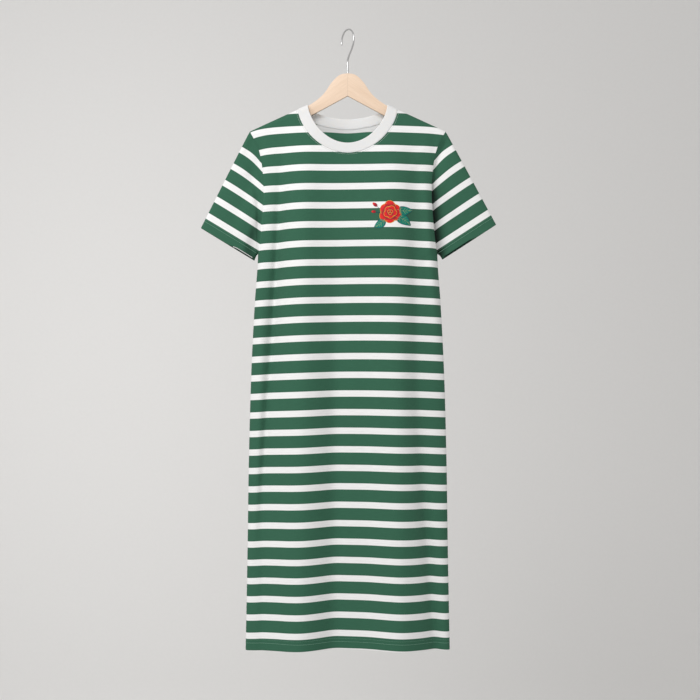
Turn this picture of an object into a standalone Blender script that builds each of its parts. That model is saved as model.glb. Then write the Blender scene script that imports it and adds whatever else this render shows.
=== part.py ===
# A striped t-shirt dress that hangs on a wooden hanger.
# Metres, +Z up. X runs across the dress, Y from its front to its back.
# The origin is the top of the inside of the hook, where a rail carries the hanger.

from collections import namedtuple
import math

import bpy
import numpy as np

# ---- driving sizes ----

WALL = 0.0015
RIB_WALL = 0.0024
SEAM_GAP = 0.0003
MITRE_LIMIT = 0.3

HEM_Z = -1.3615
UNDERARM_Z = -0.494
SHOULDER_TIP_Z = -0.2265
SIDE_DROOP = 0.006

NECK_POINT_X = 0.110
NECK_POINT_Z = -0.1750
SHOULDER_SLOPE = 0.468
YOKE_ROUND = 0.030

NECK_INNER_X = 0.0885
NECK_EXPONENT = 1.25

ARM_ROUND = 0.0105
ARM_ROUND_POWER = 0.4
SPREAD_LENGTH = 0.24
FOLD_FADE_LENGTH = 0.16
FOLD_SIDE_SHARE = 0.45

SLEEVE_CAP_BULGE = 0.0055
SLEEVE_CAP_POWER = 3
UNDERARM_FLARE = 0.5
UNDERARM_FLARE_POWER = 3
CUFF_HALF_DEPTH = 0.0145
CUFF_SQUARENESS = 0.75

HANGER_THICKNESS = 0.011
HANGER_EDGE_ROUND = 0.0035
HOOK_WIRE = 0.0038
HOOK_TURN = math.radians(57.5)

# ---- grid of the panels ----

SKIRT_ROWS = 20
ARMHOLE_ROWS = 9
UNDERARM_CROWDING = 1.7
ROUND_STEPS = 4
NOTCH_DROPS = (0.036, 0.022)
NOTCH_ROW = SKIRT_ROWS + ARMHOLE_ROWS
SHOULDER_COLUMNS = 6
NECK_COLUMNS = 16
SLEEVE_ROWS = 8
BAND_ROWS = 3
ROW_BLEND_Z = -0.42
PLACE_DIGITS = 6

ARM_EDGE_STEPS = 1
WIRE_EDGE_STEPS = 2
HOOK_POINTS_PER_SPAN = 3

# ---- tables ----

Section = namedtuple("Section", "z half_width front back")
SECTIONS = (
    Section(z=-1.370, half_width=0.2250, front=0.040, back=0.040),
    Section(z=-1.150, half_width=0.2208, front=0.042, back=0.040),
    Section(z=-0.950, half_width=0.2178, front=0.044, back=0.040),
    Section(z=-0.750, half_width=0.2122, front=0.045, back=0.040),
    Section(z=-0.600, half_width=0.2045, front=0.046, back=0.040),
    Section(z=-0.494, half_width=0.1975, front=0.046, back=0.039),
    Section(z=-0.400, half_width=0.2000, front=0.045, back=0.038),
    Section(z=-0.300, half_width=0.2080, front=0.044, back=0.036),
    Section(z=-0.226, half_width=0.2260, front=0.043, back=0.034),
    Section(z=-0.120, half_width=0.2600, front=0.042, back=0.034),
)

Armhole = namedtuple("Armhole", "z front_x back_x")
ARMHOLE = (
    Armhole(z=-0.494, front_x=0.1975, back_x=0.1975),
    Armhole(z=-0.470, front_x=0.1935, back_x=0.1945),
    Armhole(z=-0.430, front_x=0.1892, back_x=0.1915),
    Armhole(z=-0.360, front_x=0.1848, back_x=0.1895),
    Armhole(z=-0.300, front_x=0.1890, back_x=0.1935),
    Armhole(z=-0.262, front_x=0.1978, back_x=0.2005),
    Armhole(z=-0.2265, front_x=0.2160, back_x=0.2160),
)

Neckline = namedtuple("Neckline", "side outer_z inner_z")
NECKLINES = (
    Neckline(side="front", outer_z=-0.2745, inner_z=-0.2530),
    Neckline(side="back", outer_z=-0.2165, inner_z=-0.1945),
)

Fold = namedtuple("Fold", "x_top x_hem rise_top rise_hem width_top width_hem")
FRONT_FOLDS = (
    Fold(x_top=-0.095, x_hem=-0.106, rise_top=0.006, rise_hem=0.014, width_top=0.040, width_hem=0.048),
    Fold(x_top=0.104, x_hem=0.114, rise_top=0.006, rise_hem=0.014, width_top=0.040, width_hem=0.046),
    Fold(x_top=0.000, x_hem=0.006, rise_top=-0.004, rise_hem=-0.011, width_top=0.050, width_hem=0.050),
    Fold(x_top=-0.156, x_hem=-0.176, rise_top=-0.007, rise_hem=-0.003, width_top=0.022, width_hem=0.028),
    Fold(x_top=0.150, x_hem=0.172, rise_top=-0.007, rise_hem=-0.004, width_top=0.022, width_hem=0.028),
)
BACK_FOLDS = (
    Fold(x_top=-0.120, x_hem=-0.128, rise_top=0.004, rise_hem=0.012, width_top=0.036, width_hem=0.042),
    Fold(x_top=-0.010, x_hem=-0.004, rise_top=0.003, rise_hem=0.010, width_top=0.034, width_hem=0.040),
    Fold(x_top=0.116, x_hem=0.122, rise_top=0.004, rise_hem=0.012, width_top=0.038, width_hem=0.044),
    Fold(x_top=-0.062, x_hem=-0.066, rise_top=-0.003, rise_hem=-0.010, width_top=0.030, width_hem=0.034),
    Fold(x_top=0.054, x_hem=0.060, rise_top=-0.003, rise_hem=-0.010, width_top=0.030, width_hem=0.034),
)

Sleeve = namedtuple("Sleeve", "name hand tip_x tip_z inner_x inner_z")
SLEEVES = (
    Sleeve(name="sleeve_right", hand=-1, tip_x=0.3240, tip_z=-0.4370, inner_x=0.2065, inner_z=-0.5085),
    Sleeve(name="sleeve_left", hand=1, tip_x=0.3275, tip_z=-0.4295, inner_x=0.2095, inner_z=-0.5060),
)

# Upper and lower outline of one hanger arm, from the mitre to the tip.
ArmPoint = namedtuple("ArmPoint", "x z")
ARM_TOP = (
    ArmPoint(x=0.0000, z=-0.0955),
    ArmPoint(x=0.0125, z=-0.0972),
    ArmPoint(x=0.0230, z=-0.1030),
    ArmPoint(x=0.0365, z=-0.1172),
    ArmPoint(x=0.0470, z=-0.1330),
    ArmPoint(x=0.0570, z=-0.1450),
    ArmPoint(x=0.0720, z=-0.1575),
    ArmPoint(x=0.0885, z=-0.1677),
    ArmPoint(x=0.1150, z=-0.1795),
    ArmPoint(x=0.1880, z=-0.2133),
)
ARM_BOTTOM = (
    ArmPoint(x=0.1945, z=-0.2200),
    ArmPoint(x=0.1960, z=-0.2270),
    ArmPoint(x=0.1900, z=-0.2320),
    ArmPoint(x=0.1300, z=-0.2080),
    ArmPoint(x=0.0800, z=-0.1880),
    ArmPoint(x=0.0000, z=-0.1450),
)

# The hook's wire, measured in the hook's own upright plane. It clears a rail of 35 mm.
HookPoint = namedtuple("HookPoint", "out z")
HOOK = (
    HookPoint(out=0.0000, z=-0.0952),
    HookPoint(out=0.0000, z=-0.0810),
    HookPoint(out=0.0000, z=-0.0670),
    HookPoint(out=0.0056, z=-0.0565),
    HookPoint(out=0.0158, z=-0.0445),
    HookPoint(out=0.0235, z=-0.0320),
    HookPoint(out=0.0250, z=-0.0215),
    HookPoint(out=0.0224, z=-0.0112),
    HookPoint(out=0.0129, z=-0.0012),
    HookPoint(out=0.0000, z=0.0020),
    HookPoint(out=-0.0129, z=-0.0012),
    HookPoint(out=-0.0224, z=-0.0112),
    HookPoint(out=-0.0250, z=-0.0215),
    HookPoint(out=-0.0247, z=-0.0270),
)

# ---- finishes ----

GREEN = (0.050, 0.150, 0.092)
WHITE = (0.830, 0.830, 0.820)
BEECH = (0.820, 0.620, 0.470)
STEEL = (0.560, 0.560, 0.570)
CLOTH_ROUGHNESS = 0.85
WOOD_ROUGHNESS = 0.5
STEEL_ROUGHNESS = 0.3


# ---- smooth values between table rows ----

def smooth_curve(places, values, where):
    """Cubic through the rows of a table, whose slope at a row is the mean of those beside it."""
    order = np.argsort(places)
    places = np.asarray(places, float)[order]
    values = np.asarray(values, float)[order]
    steps = np.diff(places)
    slopes = np.diff(values) / steps
    ends = np.concatenate(([slopes[0]], (slopes[:-1] + slopes[1:]) / 2, [slopes[-1]]))
    where = np.clip(where, places[0], places[-1])
    span = np.clip(np.searchsorted(places, where) - 1, 0, len(steps) - 1)
    t = (where - places[span]) / steps[span]
    rise = values[span + 1] - values[span]
    start = ends[span] * steps[span]
    finish = ends[span + 1] * steps[span]
    return (values[span] + start * t + (3 * rise - 2 * start - finish) * t ** 2
            + (start + finish - 2 * rise) * t ** 3)


def column(rows, name, z):
    return smooth_curve([row.z for row in rows], [getattr(row, name) for row in rows], z)


def ease(t):
    t = np.clip(t, 0, 1)
    return t * t * (3 - 2 * t)


# ---- the hanging surface of the dress ----

def shoulder_line(x):
    """Height of the shoulder seam, carried on across the neck as a soft ridge."""
    reach = np.sqrt(np.square(x) + YOKE_ROUND ** 2)
    seat = math.hypot(NECK_POINT_X, YOKE_ROUND)
    return NECK_POINT_Z - SHOULDER_SLOPE * (reach - seat)


def fold_relief(folds, x, z):
    down = np.clip((SHOULDER_TIP_Z - z) / (SHOULDER_TIP_Z - HEM_Z), 0, 1)
    relief = 0 * x
    for fold in folds:
        centre = fold.x_top + (fold.x_hem - fold.x_top) * down
        rise = fold.rise_top + (fold.rise_hem - fold.rise_top) * down
        width = fold.width_top + (fold.width_hem - fold.width_top) * down
        relief = relief + rise * np.exp(-np.square((x - centre) / width))
    return relief


def body_depth(side, x, z):
    """How far the cloth stands off the plane of the hanger at a place on the front or back."""
    share = np.clip(np.abs(x) / column(SECTIONS, "half_width", z), 0, 1)
    roundness = np.sqrt(1 - share ** 2)
    below = np.clip(shoulder_line(x) - z, 0, None)
    on_arm = 1 - np.clip(below / ARM_ROUND, 0, 1)
    over_arm = ARM_ROUND * np.sqrt(1 - on_arm ** 2) * roundness ** ARM_ROUND_POWER
    spread = np.sin(np.clip(below / SPREAD_LENGTH, 0, 1) * math.pi / 2)
    belly = (column(SECTIONS, side, z) - ARM_ROUND) * spread * roundness
    folds = FRONT_FOLDS if side == "front" else BACK_FOLDS
    fade = ease(below / FOLD_FADE_LENGTH) * ease(roundness / FOLD_SIDE_SHARE)
    return over_arm + belly + fold_relief(folds, x, z) * fade


def body_points(side, x, z):
    facing = -1 if side == "front" else 1
    depth = body_depth(side, x, z)
    return np.stack([x, facing * depth, z], axis=-1)


def neckline_of(side):
    return next(row for row in NECKLINES if row.side == side)


def neck_curve(side, angle, inner):
    """Plan and height of the neckline seam, or of the band's inner edge, at an angle from the centre."""
    neckline = neckline_of(side)
    half_width = NECK_INNER_X if inner else NECK_POINT_X
    low = neckline.inner_z if inner else neckline.outer_z
    x = half_width * np.sin(angle)
    high = shoulder_line(half_width) if inner else NECK_POINT_Z
    z = high - (high - low) * np.clip(np.cos(angle), 0, 1) ** NECK_EXPONENT
    return x, z


# ---- pieces as nets of points ----

Net = namedtuple("Net", "name points faces wall colour")


def round_drops():
    """Drops below a ridge that follow the round of the hanger's arm under it."""
    angles = np.linspace(0, math.pi / 2, ROUND_STEPS + 1)
    return ARM_ROUND * (1 - np.cos(angles))


def edge_heights():
    """Heights of the rows where they meet the side seam and the armhole."""
    skirt = np.linspace(HEM_Z, UNDERARM_Z, SKIRT_ROWS + 1)
    drops = np.concatenate([NOTCH_DROPS, round_drops()[::-1]])
    ridge = SHOULDER_TIP_Z - drops
    climb = np.linspace(0, 1, ARMHOLE_ROWS + 1) ** UNDERARM_CROWDING
    armhole = UNDERARM_Z + (ridge[0] - UNDERARM_Z) * climb
    return np.concatenate([skirt, armhole[1:], ridge[1:]])


def lift(heights):
    return ease((heights - ROW_BLEND_Z) / (SHOULDER_TIP_Z - ROW_BLEND_Z))


def neck_side_heights():
    """Heights of the rows that end on the steep side of the neckline, from its foot to the shoulder."""
    heights = edge_heights()[NOTCH_ROW:]
    return heights + (NECK_POINT_Z - SHOULDER_TIP_Z) * lift(heights)


def neck_side_angles(side):
    fall = np.clip(NECK_POINT_Z - neck_side_heights(), 0, None)
    depth = NECK_POINT_Z - neckline_of(side).outer_z
    return np.arccos((fall / depth) ** (1 / NECK_EXPONENT))


def neck_angles(side):
    """Angles of all the points of a neckline, from the right shoulder to the left one."""
    steep = neck_side_angles(side)
    foot = np.linspace(-steep[0], steep[0], NECK_COLUMNS + 1)
    return np.concatenate([-steep[::-1], foot[1:-1], steep])


def grid_edge(side, heights):
    """How far the rows reach from the centre: to the side seam, or above it to the armhole."""
    half_width = column(SECTIONS, "half_width", heights)
    armhole = column(ARMHOLE, side + "_x", heights)
    return half_width, np.where(heights > UNDERARM_Z, armhole, half_width)


def panel_points(side):
    """Rows run from the hem up, columns from the right side to the left one."""
    heights = edge_heights()
    half_width, edge_x = grid_edge(side, heights)
    steep = neck_side_angles(side)
    foot_x, foot_z = neck_curve(side, np.linspace(-steep[0], steep[0], NECK_COLUMNS + 1), inner=False)
    side_x, side_z = neck_curve(side, steep, inner=False)

    outward = np.linspace(1, 0, SHOULDER_COLUMNS + 1)[:-1]
    top_x = NECK_POINT_X + (ARMHOLE[-1].front_x - NECK_POINT_X) * outward
    rise = shoulder_line(top_x) - SHOULDER_TIP_Z
    notch_x = side_x[0] + (edge_x[NOTCH_ROW] - side_x[0]) * outward
    notch_lift = lift(heights[NOTCH_ROW])
    goal_x = np.concatenate([-notch_x, foot_x, notch_x[::-1]])
    goal_z = np.concatenate([rise * notch_lift, foot_z - heights[NOTCH_ROW], rise[::-1] * notch_lift])

    across = np.linspace(-1, 1, len(goal_x))
    edge_angle = np.arcsin(np.clip(edge_x / half_width, 0, 1))
    bend = np.sin(edge_angle[:, None] * across)
    fall = np.clip((UNDERARM_Z - heights) / (UNDERARM_Z - HEM_Z), 0, 1)[:, None]
    drooped = heights[:, None] - SIDE_DROOP * bend ** 2 * fall
    flat_x = column(SECTIONS, "half_width", drooped) * bend
    share = (lift(heights) / notch_lift)[:, None]
    x = flat_x + (goal_x - flat_x[NOTCH_ROW]) * share
    z = drooped + goal_z * share

    # above the foot of the neckline only a strip over each shoulder is left
    strip = slice(None, SHOULDER_COLUMNS + 1)
    for step, row in enumerate(range(NOTCH_ROW, len(heights))):
        strip_x = np.append(side_x[step] + (edge_x[row] - side_x[step]) * outward, side_x[step])
        strip_z = np.append(heights[row] + rise * lift(heights[row]), side_z[step])
        x[row, strip] = -strip_x
        z[row, strip] = strip_z
        x[row, ::-1][strip] = strip_x
        z[row, ::-1][strip] = strip_z
    return body_points(side, x, z)


def over_neck(row, step):
    inside = SHOULDER_COLUMNS <= step < SHOULDER_COLUMNS + NECK_COLUMNS
    return inside and row >= NOTCH_ROW


def sleeve_points(sleeve, front, back):
    """Rows run from the armhole to the cuff, columns round the arm from the top by the front."""
    edge = 0 if sleeve.hand < 0 else -1
    front_edge = front[SKIRT_ROWS:, edge][::-1]
    back_edge = back[SKIRT_ROWS:, edge]
    armhole = np.concatenate([front_edge, back_edge[1:-1]])
    tip = np.array([sleeve.hand * sleeve.tip_x, 0, sleeve.tip_z])
    inner = np.array([sleeve.hand * sleeve.inner_x, 0, sleeve.inner_z])
    along = directions(inner - tip)
    out = np.array([-along[2] * sleeve.hand, 0, along[0] * sleeve.hand])
    reach = (armhole - armhole[0]) @ along
    share = np.clip(reach / reach[len(front_edge) - 1], 0, 1)[:, None]
    hollow = CUFF_HALF_DEPTH * np.sqrt(1 - (2 * share - 1) ** 2) ** CUFF_SQUARENESS
    cuff = tip + share * (inner - tip)
    cuff[:, 1:2] = np.sign(armhole[:, 1:2]) * hollow
    down = np.linspace(0, 1, SLEEVE_ROWS + 1)[:, None, None]
    points = armhole + (cuff - armhole) * down
    early = down ** (1 - UNDERARM_FLARE * share ** UNDERARM_FLARE_POWER)
    points[..., :1] = (armhole + (cuff - armhole) * early)[..., :1]
    bulge = SLEEVE_CAP_BULGE * np.sin(np.sqrt(down) * math.pi)
    return points + out * (1 - share) ** SLEEVE_CAP_POWER * bulge


def band_points():
    """Rows run from the neckline seam to the inner edge, columns round the neck."""
    sides = (("front", neck_angles("front")), ("back", neck_angles("back")[::-1][1:-1]))
    rows = []
    for step in np.linspace(0, 1, BAND_ROWS + 1):
        ring = []
        for side, angle in sides:
            outer_x, outer_z = neck_curve(side, angle, inner=False)
            inner_x, inner_z = neck_curve(side, angle, inner=True)
            x = outer_x + (inner_x - outer_x) * step
            z = outer_z + (inner_z - outer_z) * step
            ring.append(body_points(side, x, z))
        rows.append(np.concatenate(ring))
    return np.stack(rows)


def make_net(name, points, wall, colour, ring=False, flip=False, skip=None):
    """Four-sided faces over a grid, each starting where its first diagonal is the shorter one."""
    rows, columns = points.shape[:2]
    flat = points.reshape(-1, 3)
    faces = []
    for row in range(rows - 1):
        for step in range(columns if ring else columns - 1):
            if skip and skip(row, step):
                continue
            following = (step + 1) % columns
            low = row * columns
            face = [low + step, low + following, low + columns + following, low + columns + step]
            if flip:
                face.reverse()
            first, second = flat[face[0]] - flat[face[2]], flat[face[1]] - flat[face[3]]
            if np.linalg.norm(first) > np.linalg.norm(second):
                face = face[1:] + face[:1]
            faces.append(face)
    used = sorted({corner for face in faces for corner in face})
    place = {old: new for new, old in enumerate(used)}
    faces = [[place[corner] for corner in face] for face in faces]
    return Net(name, flat[used], faces, wall, colour)


# ---- walls ----

def directions(vectors):
    return vectors / np.linalg.norm(vectors, axis=-1, keepdims=True)


def place_key(point):
    """A point as a key that is the same for two pieces that meet there."""
    return tuple(np.round(point, PLACE_DIGITS) + 0.0)


def mirror_key(point):
    """A point as a sorting key that is the same on the left, right, front and back."""
    x, y, z = np.round(point, PLACE_DIGITS)
    return abs(x), z, abs(y)


def corner_normals(net):
    sums = np.zeros_like(net.points)
    for face in net.faces:
        a, b, c, d = (net.points[corner] for corner in face)
        sums[face] += directions(np.cross(c - a, d - b))
    return sums


def make_walls(nets):
    """Every net as a wall whose rims lie on the mitre that it shares with its neighbour."""
    shared = {}
    for net in nets:
        for point, normal in zip(net.points, corner_normals(net)):
            key = place_key(point)
            shared[key] = shared.get(key, 0) + normal
    for net in nets:
        normals = directions(np.array([shared[place_key(point)] for point in net.points]))
        lean = (normals * directions(corner_normals(net))).sum(axis=-1, keepdims=True)
        reach = normals * net.wall / 2 / np.clip(lean, MITRE_LIMIT, 1)
        add_wall(net, normals, reach)


def open_edges(faces):
    """For each corner on an open edge, the corner that follows it."""
    edges = {(a, b) for face in faces for a, b in zip(face, face[1:] + face[:1])}
    return {a: b for a, b in edges if (b, a) not in edges}


def seam_shift(net, normals, following):
    """Half a seam gap, square to each open edge and into the piece."""
    shift = np.zeros_like(net.points)
    for before, here in following.items():
        after = following[here]
        normal = normals[here]
        first = directions(np.cross(normal, net.points[here] - net.points[before]))
        second = directions(np.cross(normal, net.points[after] - net.points[here]))
        shift[here] = (first + second) / (1 + first @ second) * SEAM_GAP / 2
    return shift


def add_wall(net, normals, reach):
    following = open_edges(net.faces)
    points = net.points + seam_shift(net, normals, following)
    count = len(points)
    faces = list(net.faces)
    for a, b, c, d in net.faces:
        faces.append([count + a, count + d, count + c, count + b])
    for first, second in following.items():
        if mirror_key(net.points[first]) < mirror_key(net.points[second]):
            faces.append([second, first, count + first, count + second])
        else:
            faces.append([first, count + first, count + second, second])
    mesh = bpy.data.meshes.new(net.name)
    mesh.from_pydata(np.concatenate([points + reach, points - reach]).tolist(), [], faces)
    mesh.update()
    add_object(net.name, mesh, net.colour, CLOTH_ROUGHNESS)


# ---- objects ----

def clear_scene():
    for old in list(bpy.data.objects):
        bpy.data.objects.remove(old, do_unlink=True)
    collection = bpy.data.collections.new("tshirt_dress")
    bpy.context.scene.collection.children.link(collection)
    return collection


def add_object(name, data, colour, roughness, metallic=0.0):
    part = bpy.data.objects.new(name, data)
    collection.objects.link(part)
    material = bpy.data.materials.new(name)
    material.use_nodes = True
    shader = material.node_tree.nodes["Principled BSDF"]
    shader.inputs["Base Color"].default_value = (*colour, 1)
    shader.inputs["Roughness"].default_value = roughness
    shader.inputs["Metallic"].default_value = metallic
    data.materials.append(material)
    return part


def build_cloth():
    front = panel_points("front")
    back = panel_points("back")
    nets = [
        make_net("front", front, WALL, GREEN, skip=over_neck),
        make_net("back", back, WALL, GREEN, flip=True, skip=over_neck),
        make_net("neckband", band_points(), RIB_WALL, WHITE, ring=True),
    ]
    for sleeve in SLEEVES:
        points = sleeve_points(sleeve, front, back)
        nets.append(make_net(sleeve.name, points, WALL, GREEN, ring=True, flip=sleeve.hand < 0))
    make_walls(nets)


def build_hanger_arm(name, hand):
    """One wooden arm: its outline extruded through the thickness, with its long edges rounded."""
    half_gap = SEAM_GAP / 2
    outline = [(max(point.x, half_gap), point.z) for point in ARM_TOP + ARM_BOTTOM]
    curve = bpy.data.curves.new(name, "CURVE")
    curve.dimensions = "2D"
    curve.fill_mode = "BOTH"
    curve.extrude = HANGER_THICKNESS / 2 - HANGER_EDGE_ROUND
    curve.bevel_depth = HANGER_EDGE_ROUND
    curve.bevel_resolution = ARM_EDGE_STEPS
    curve.offset = -HANGER_EDGE_ROUND
    spline = curve.splines.new("POLY")
    spline.points.add(len(outline) - 1)
    for point, (x, z) in zip(spline.points, outline):
        point.co = (hand * x, z, 0, 1)
    spline.use_cyclic_u = True
    arm = add_object(name, curve, BEECH, WOOD_ROUGHNESS)
    arm.rotation_euler = (math.radians(90), 0, 0)


def build_hook():
    spans = np.arange(len(HOOK))
    steps = np.linspace(0, len(HOOK) - 1, (len(HOOK) - 1) * HOOK_POINTS_PER_SPAN + 1)
    out = smooth_curve(spans, [point.out for point in HOOK], steps)
    height = smooth_curve(spans, [point.z for point in HOOK], steps)
    curve = bpy.data.curves.new("hanger_hook", "CURVE")
    curve.dimensions = "3D"
    curve.bevel_depth = HOOK_WIRE / 2
    curve.bevel_resolution = WIRE_EDGE_STEPS
    curve.use_fill_caps = True
    spline = curve.splines.new("POLY")
    spline.points.add(len(steps) - 1)
    for point, reach, z in zip(spline.points, out, height):
        point.co = (reach * math.cos(HOOK_TURN), -reach * math.sin(HOOK_TURN), z, 1)
    add_object("hanger_hook", curve, STEEL, STEEL_ROUGHNESS, metallic=1.0)


collection = clear_scene()
build_cloth()
build_hanger_arm("hanger_arm_right", -1)
build_hanger_arm("hanger_arm_left", 1)
build_hook()
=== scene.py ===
import math

import bpy
import numpy as np
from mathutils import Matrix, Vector, kdtree


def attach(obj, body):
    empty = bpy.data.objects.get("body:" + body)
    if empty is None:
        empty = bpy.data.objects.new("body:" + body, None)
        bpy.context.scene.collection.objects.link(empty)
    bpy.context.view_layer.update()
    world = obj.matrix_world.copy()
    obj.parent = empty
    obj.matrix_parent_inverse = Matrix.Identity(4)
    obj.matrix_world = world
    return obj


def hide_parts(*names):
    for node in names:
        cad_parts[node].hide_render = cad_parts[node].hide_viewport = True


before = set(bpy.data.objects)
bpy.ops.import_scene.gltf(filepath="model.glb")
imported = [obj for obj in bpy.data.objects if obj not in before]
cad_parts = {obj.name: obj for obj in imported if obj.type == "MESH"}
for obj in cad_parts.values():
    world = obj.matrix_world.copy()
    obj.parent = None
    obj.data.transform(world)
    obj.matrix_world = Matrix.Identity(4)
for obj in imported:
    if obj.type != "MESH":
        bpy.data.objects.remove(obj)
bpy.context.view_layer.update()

sewn = {}                  # finished pieces by name
wholeDress = "root"        # the one body, so every piece rides on it


def sewOn(piece, node=None):
    if node:
        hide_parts(node)
    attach(piece, wholeDress)
    sewn[piece.name] = piece


# numbers that run smoothly between table rows

def smoothCurve(places, values, where):
    order = np.argsort(places)
    places = np.asarray(places, float)[order]
    values = np.asarray(values, float)[order]
    steps = np.diff(places)
    slopes = np.diff(values) / steps
    ends = np.concatenate(([slopes[0]], (slopes[:-1] + slopes[1:]) / 2, [slopes[-1]]))
    where = np.clip(where, places[0], places[-1])
    span = np.clip(np.searchsorted(places, where) - 1, 0, len(steps) - 1)
    t = (where - places[span]) / steps[span]
    rise = values[span + 1] - values[span]
    start = ends[span] * steps[span]
    finish = ends[span + 1] * steps[span]
    return (values[span] + start * t + (3 * rise - 2 * start - finish) * t ** 2
            + (start + finish - 2 * rise) * t ** 3)


def table(columns, rows):
    return [dict(zip(columns.split(), row)) for row in rows]


def fromTable(rows, column, z):
    return smoothCurve([row["z"] for row in rows], [row[column] for row in rows], z)


def ease(t):
    t = np.clip(t, 0, 1)
    return t * t * (3 - 2 * t)


nearZero = 1e-15


def unit(vectors):
    return vectors / np.linalg.norm(vectors, axis=-1, keepdims=True)


# the form that the dress hangs in, metres

form = {
    "hemZ": -1.3615,
    "underarmZ": -0.494,
    "tipZ": -0.2265,
    "sideDroop": 0.006,
    "neckX": 0.110,
    "neckZ": -0.1750,
    "slope": 0.468,
    "yokeRound": 0.030,
    "neckInnerX": 0.0885,
    "neckPower": 1.25,
    "armRound": 0.0105,
    "armRoundPower": 0.4,
    "spread": 0.24,
    "foldFade": 0.16,
    "foldSide": 0.45,
    "creaseFade": 0.03,
    "creaseSide": 0.30,
    "liftFrom": -0.42,
}

bodySections = table("z halfWidth front back", [
    (-1.370, 0.2250, 0.040, 0.040), (-1.150, 0.2208, 0.042, 0.040), (-0.950, 0.2178, 0.044, 0.040),
    (-0.750, 0.2122, 0.045, 0.040), (-0.600, 0.2045, 0.046, 0.040), (-0.494, 0.1975, 0.046, 0.039),
    (-0.400, 0.2000, 0.045, 0.038), (-0.300, 0.2080, 0.044, 0.036), (-0.226, 0.2260, 0.043, 0.034),
    (-0.120, 0.2600, 0.042, 0.034),
])

armhole = table("z front back", [
    (-0.494, 0.1975, 0.1975), (-0.470, 0.1935, 0.1945), (-0.430, 0.1892, 0.1915), (-0.360, 0.1848, 0.1895),
    (-0.300, 0.1890, 0.1935), (-0.262, 0.1978, 0.2005), (-0.2265, 0.2160, 0.2160),
])

neckline = {
    "front": {"seam": -0.2745, "edge": -0.2530},
    "back": {"seam": -0.2165, "edge": -0.1945},
}

# long folds that fall from the chest to the hem: place, height and width at the top and at the hem
folds = {
    "front": table("x rise width", [
        ((-0.096, -0.106), (0.011, 0.021), (0.036, 0.042)),
        ((0.102, 0.116), (0.008, 0.020), (0.038, 0.042)),
        ((0.000, 0.004), (-0.004, -0.012), (0.050, 0.050)),
        ((-0.150, -0.182), (-0.005, -0.003), (0.024, 0.026)),
        ((0.146, 0.186), (-0.003, -0.008), (0.022, 0.024)),
    ]),
    "back": table("x rise width", [
        ((-0.120, -0.128), (0.004, 0.012), (0.036, 0.042)),
        ((-0.010, -0.004), (0.003, 0.010), (0.034, 0.040)),
        ((0.116, 0.122), (0.004, 0.012), (0.038, 0.044)),
        ((-0.062, -0.066), (-0.003, -0.010), (0.030, 0.034)),
        ((0.054, 0.060), (-0.003, -0.010), (0.030, 0.034)),
    ]),
}

# soft creases, given one by one: from one place to another (x, z), with a height and a width
creases = {
    "front": table("start end rise width", [
        ((-0.1445, -0.300), (-0.168, -0.820), -0.0085, 0.014),
        ((-0.147, -0.340), (-0.201, -1.200), -0.0050, 0.0085),
        ((-0.165, -0.560), (-0.220, -1.900), -0.0052, 0.018),
        ((-0.186, -0.300), (-0.208, -1.900), 0.0026, 0.010),
        ((0.144, -0.400), (0.154, -0.900), -0.0040, 0.013),
        ((0.146, -0.780), (0.238, -1.900), -0.0085, 0.015),
        ((0.166, -0.300), (0.200, -0.700), 0.0044, 0.012),
        ((-0.190, -0.230), (-0.190, -0.500), -0.0036, 0.008),
        ((0.191, -0.230), (0.191, -0.500), -0.0034, 0.008),
        ((-0.026, -0.480), (-0.034, -1.800), -0.0105, 0.026),
        ((-0.060, -0.360), (-0.066, -0.760), -0.0012, 0.020),
        ((0.062, -0.420), (0.078, -1.700), 0.0016, 0.016),
        ((0.130, -0.520), (0.138, -0.980), -0.0012, 0.012),
        ((-0.126, -0.700), (-0.140, -1.700), 0.0012, 0.013),
        ((-0.196, -0.486), (-0.128, -0.560), -0.0014, 0.009),
        ((0.196, -0.484), (0.136, -0.548), -0.0014, 0.009),
        ((-0.172, -0.252), (-0.118, -0.330), 0.0012, 0.010),
        ((0.174, -0.250), (0.122, -0.336), 0.0012, 0.010),
    ]),
    "back": table("start end rise width", [
        ((-0.160, -0.270), (-0.176, -1.060), -0.0042, 0.014),
        ((0.158, -0.270), (0.180, -1.160), -0.0040, 0.014),
        ((-0.188, -0.300), (-0.196, -0.800), 0.0022, 0.009),
        ((0.188, -0.300), (0.197, -0.860), 0.0022, 0.009),
        ((-0.194, -0.230), (-0.194, -0.500), -0.0030, 0.009),
        ((0.194, -0.230), (0.194, -0.500), -0.0030, 0.009),
        ((-0.060, -0.300), (-0.080, -0.760), -0.0016, 0.018),
        ((0.072, -0.290), (0.084, -0.700), -0.0016, 0.018),
        ((0.026, -0.680), (0.034, -1.700), -0.0026, 0.020),
        ((-0.140, -0.820), (-0.150, -1.700), 0.0016, 0.014),
        ((0.104, -0.560), (0.112, -1.180), 0.0014, 0.014),
        ((-0.194, -0.490), (-0.130, -0.570), -0.0014, 0.009),
        ((0.194, -0.488), (0.134, -0.566), -0.0014, 0.009),
    ]),
}


def shoulderLine(x):
    reach = np.sqrt(np.square(x) + form["yokeRound"] ** 2)
    seat = math.hypot(form["neckX"], form["yokeRound"])
    return form["neckZ"] - form["slope"] * (reach - seat)


def foldRelief(side, x, z):
    down = np.clip((form["tipZ"] - z) / (form["tipZ"] - form["hemZ"]), 0, 1)
    relief = 0 * x
    for fold in folds[side]:
        centre, rise, width = (a + (b - a) * down for a, b in (fold["x"], fold["rise"], fold["width"]))
        relief = relief + rise * np.exp(-np.square((x - centre) / width))
    return relief


# a crease starts a little before its first place, ends a little after its last, and fades in and out
creaseEnds = {"past": 0.15, "fadeIn": 0.45, "fadeOut": 0.55}


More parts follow.
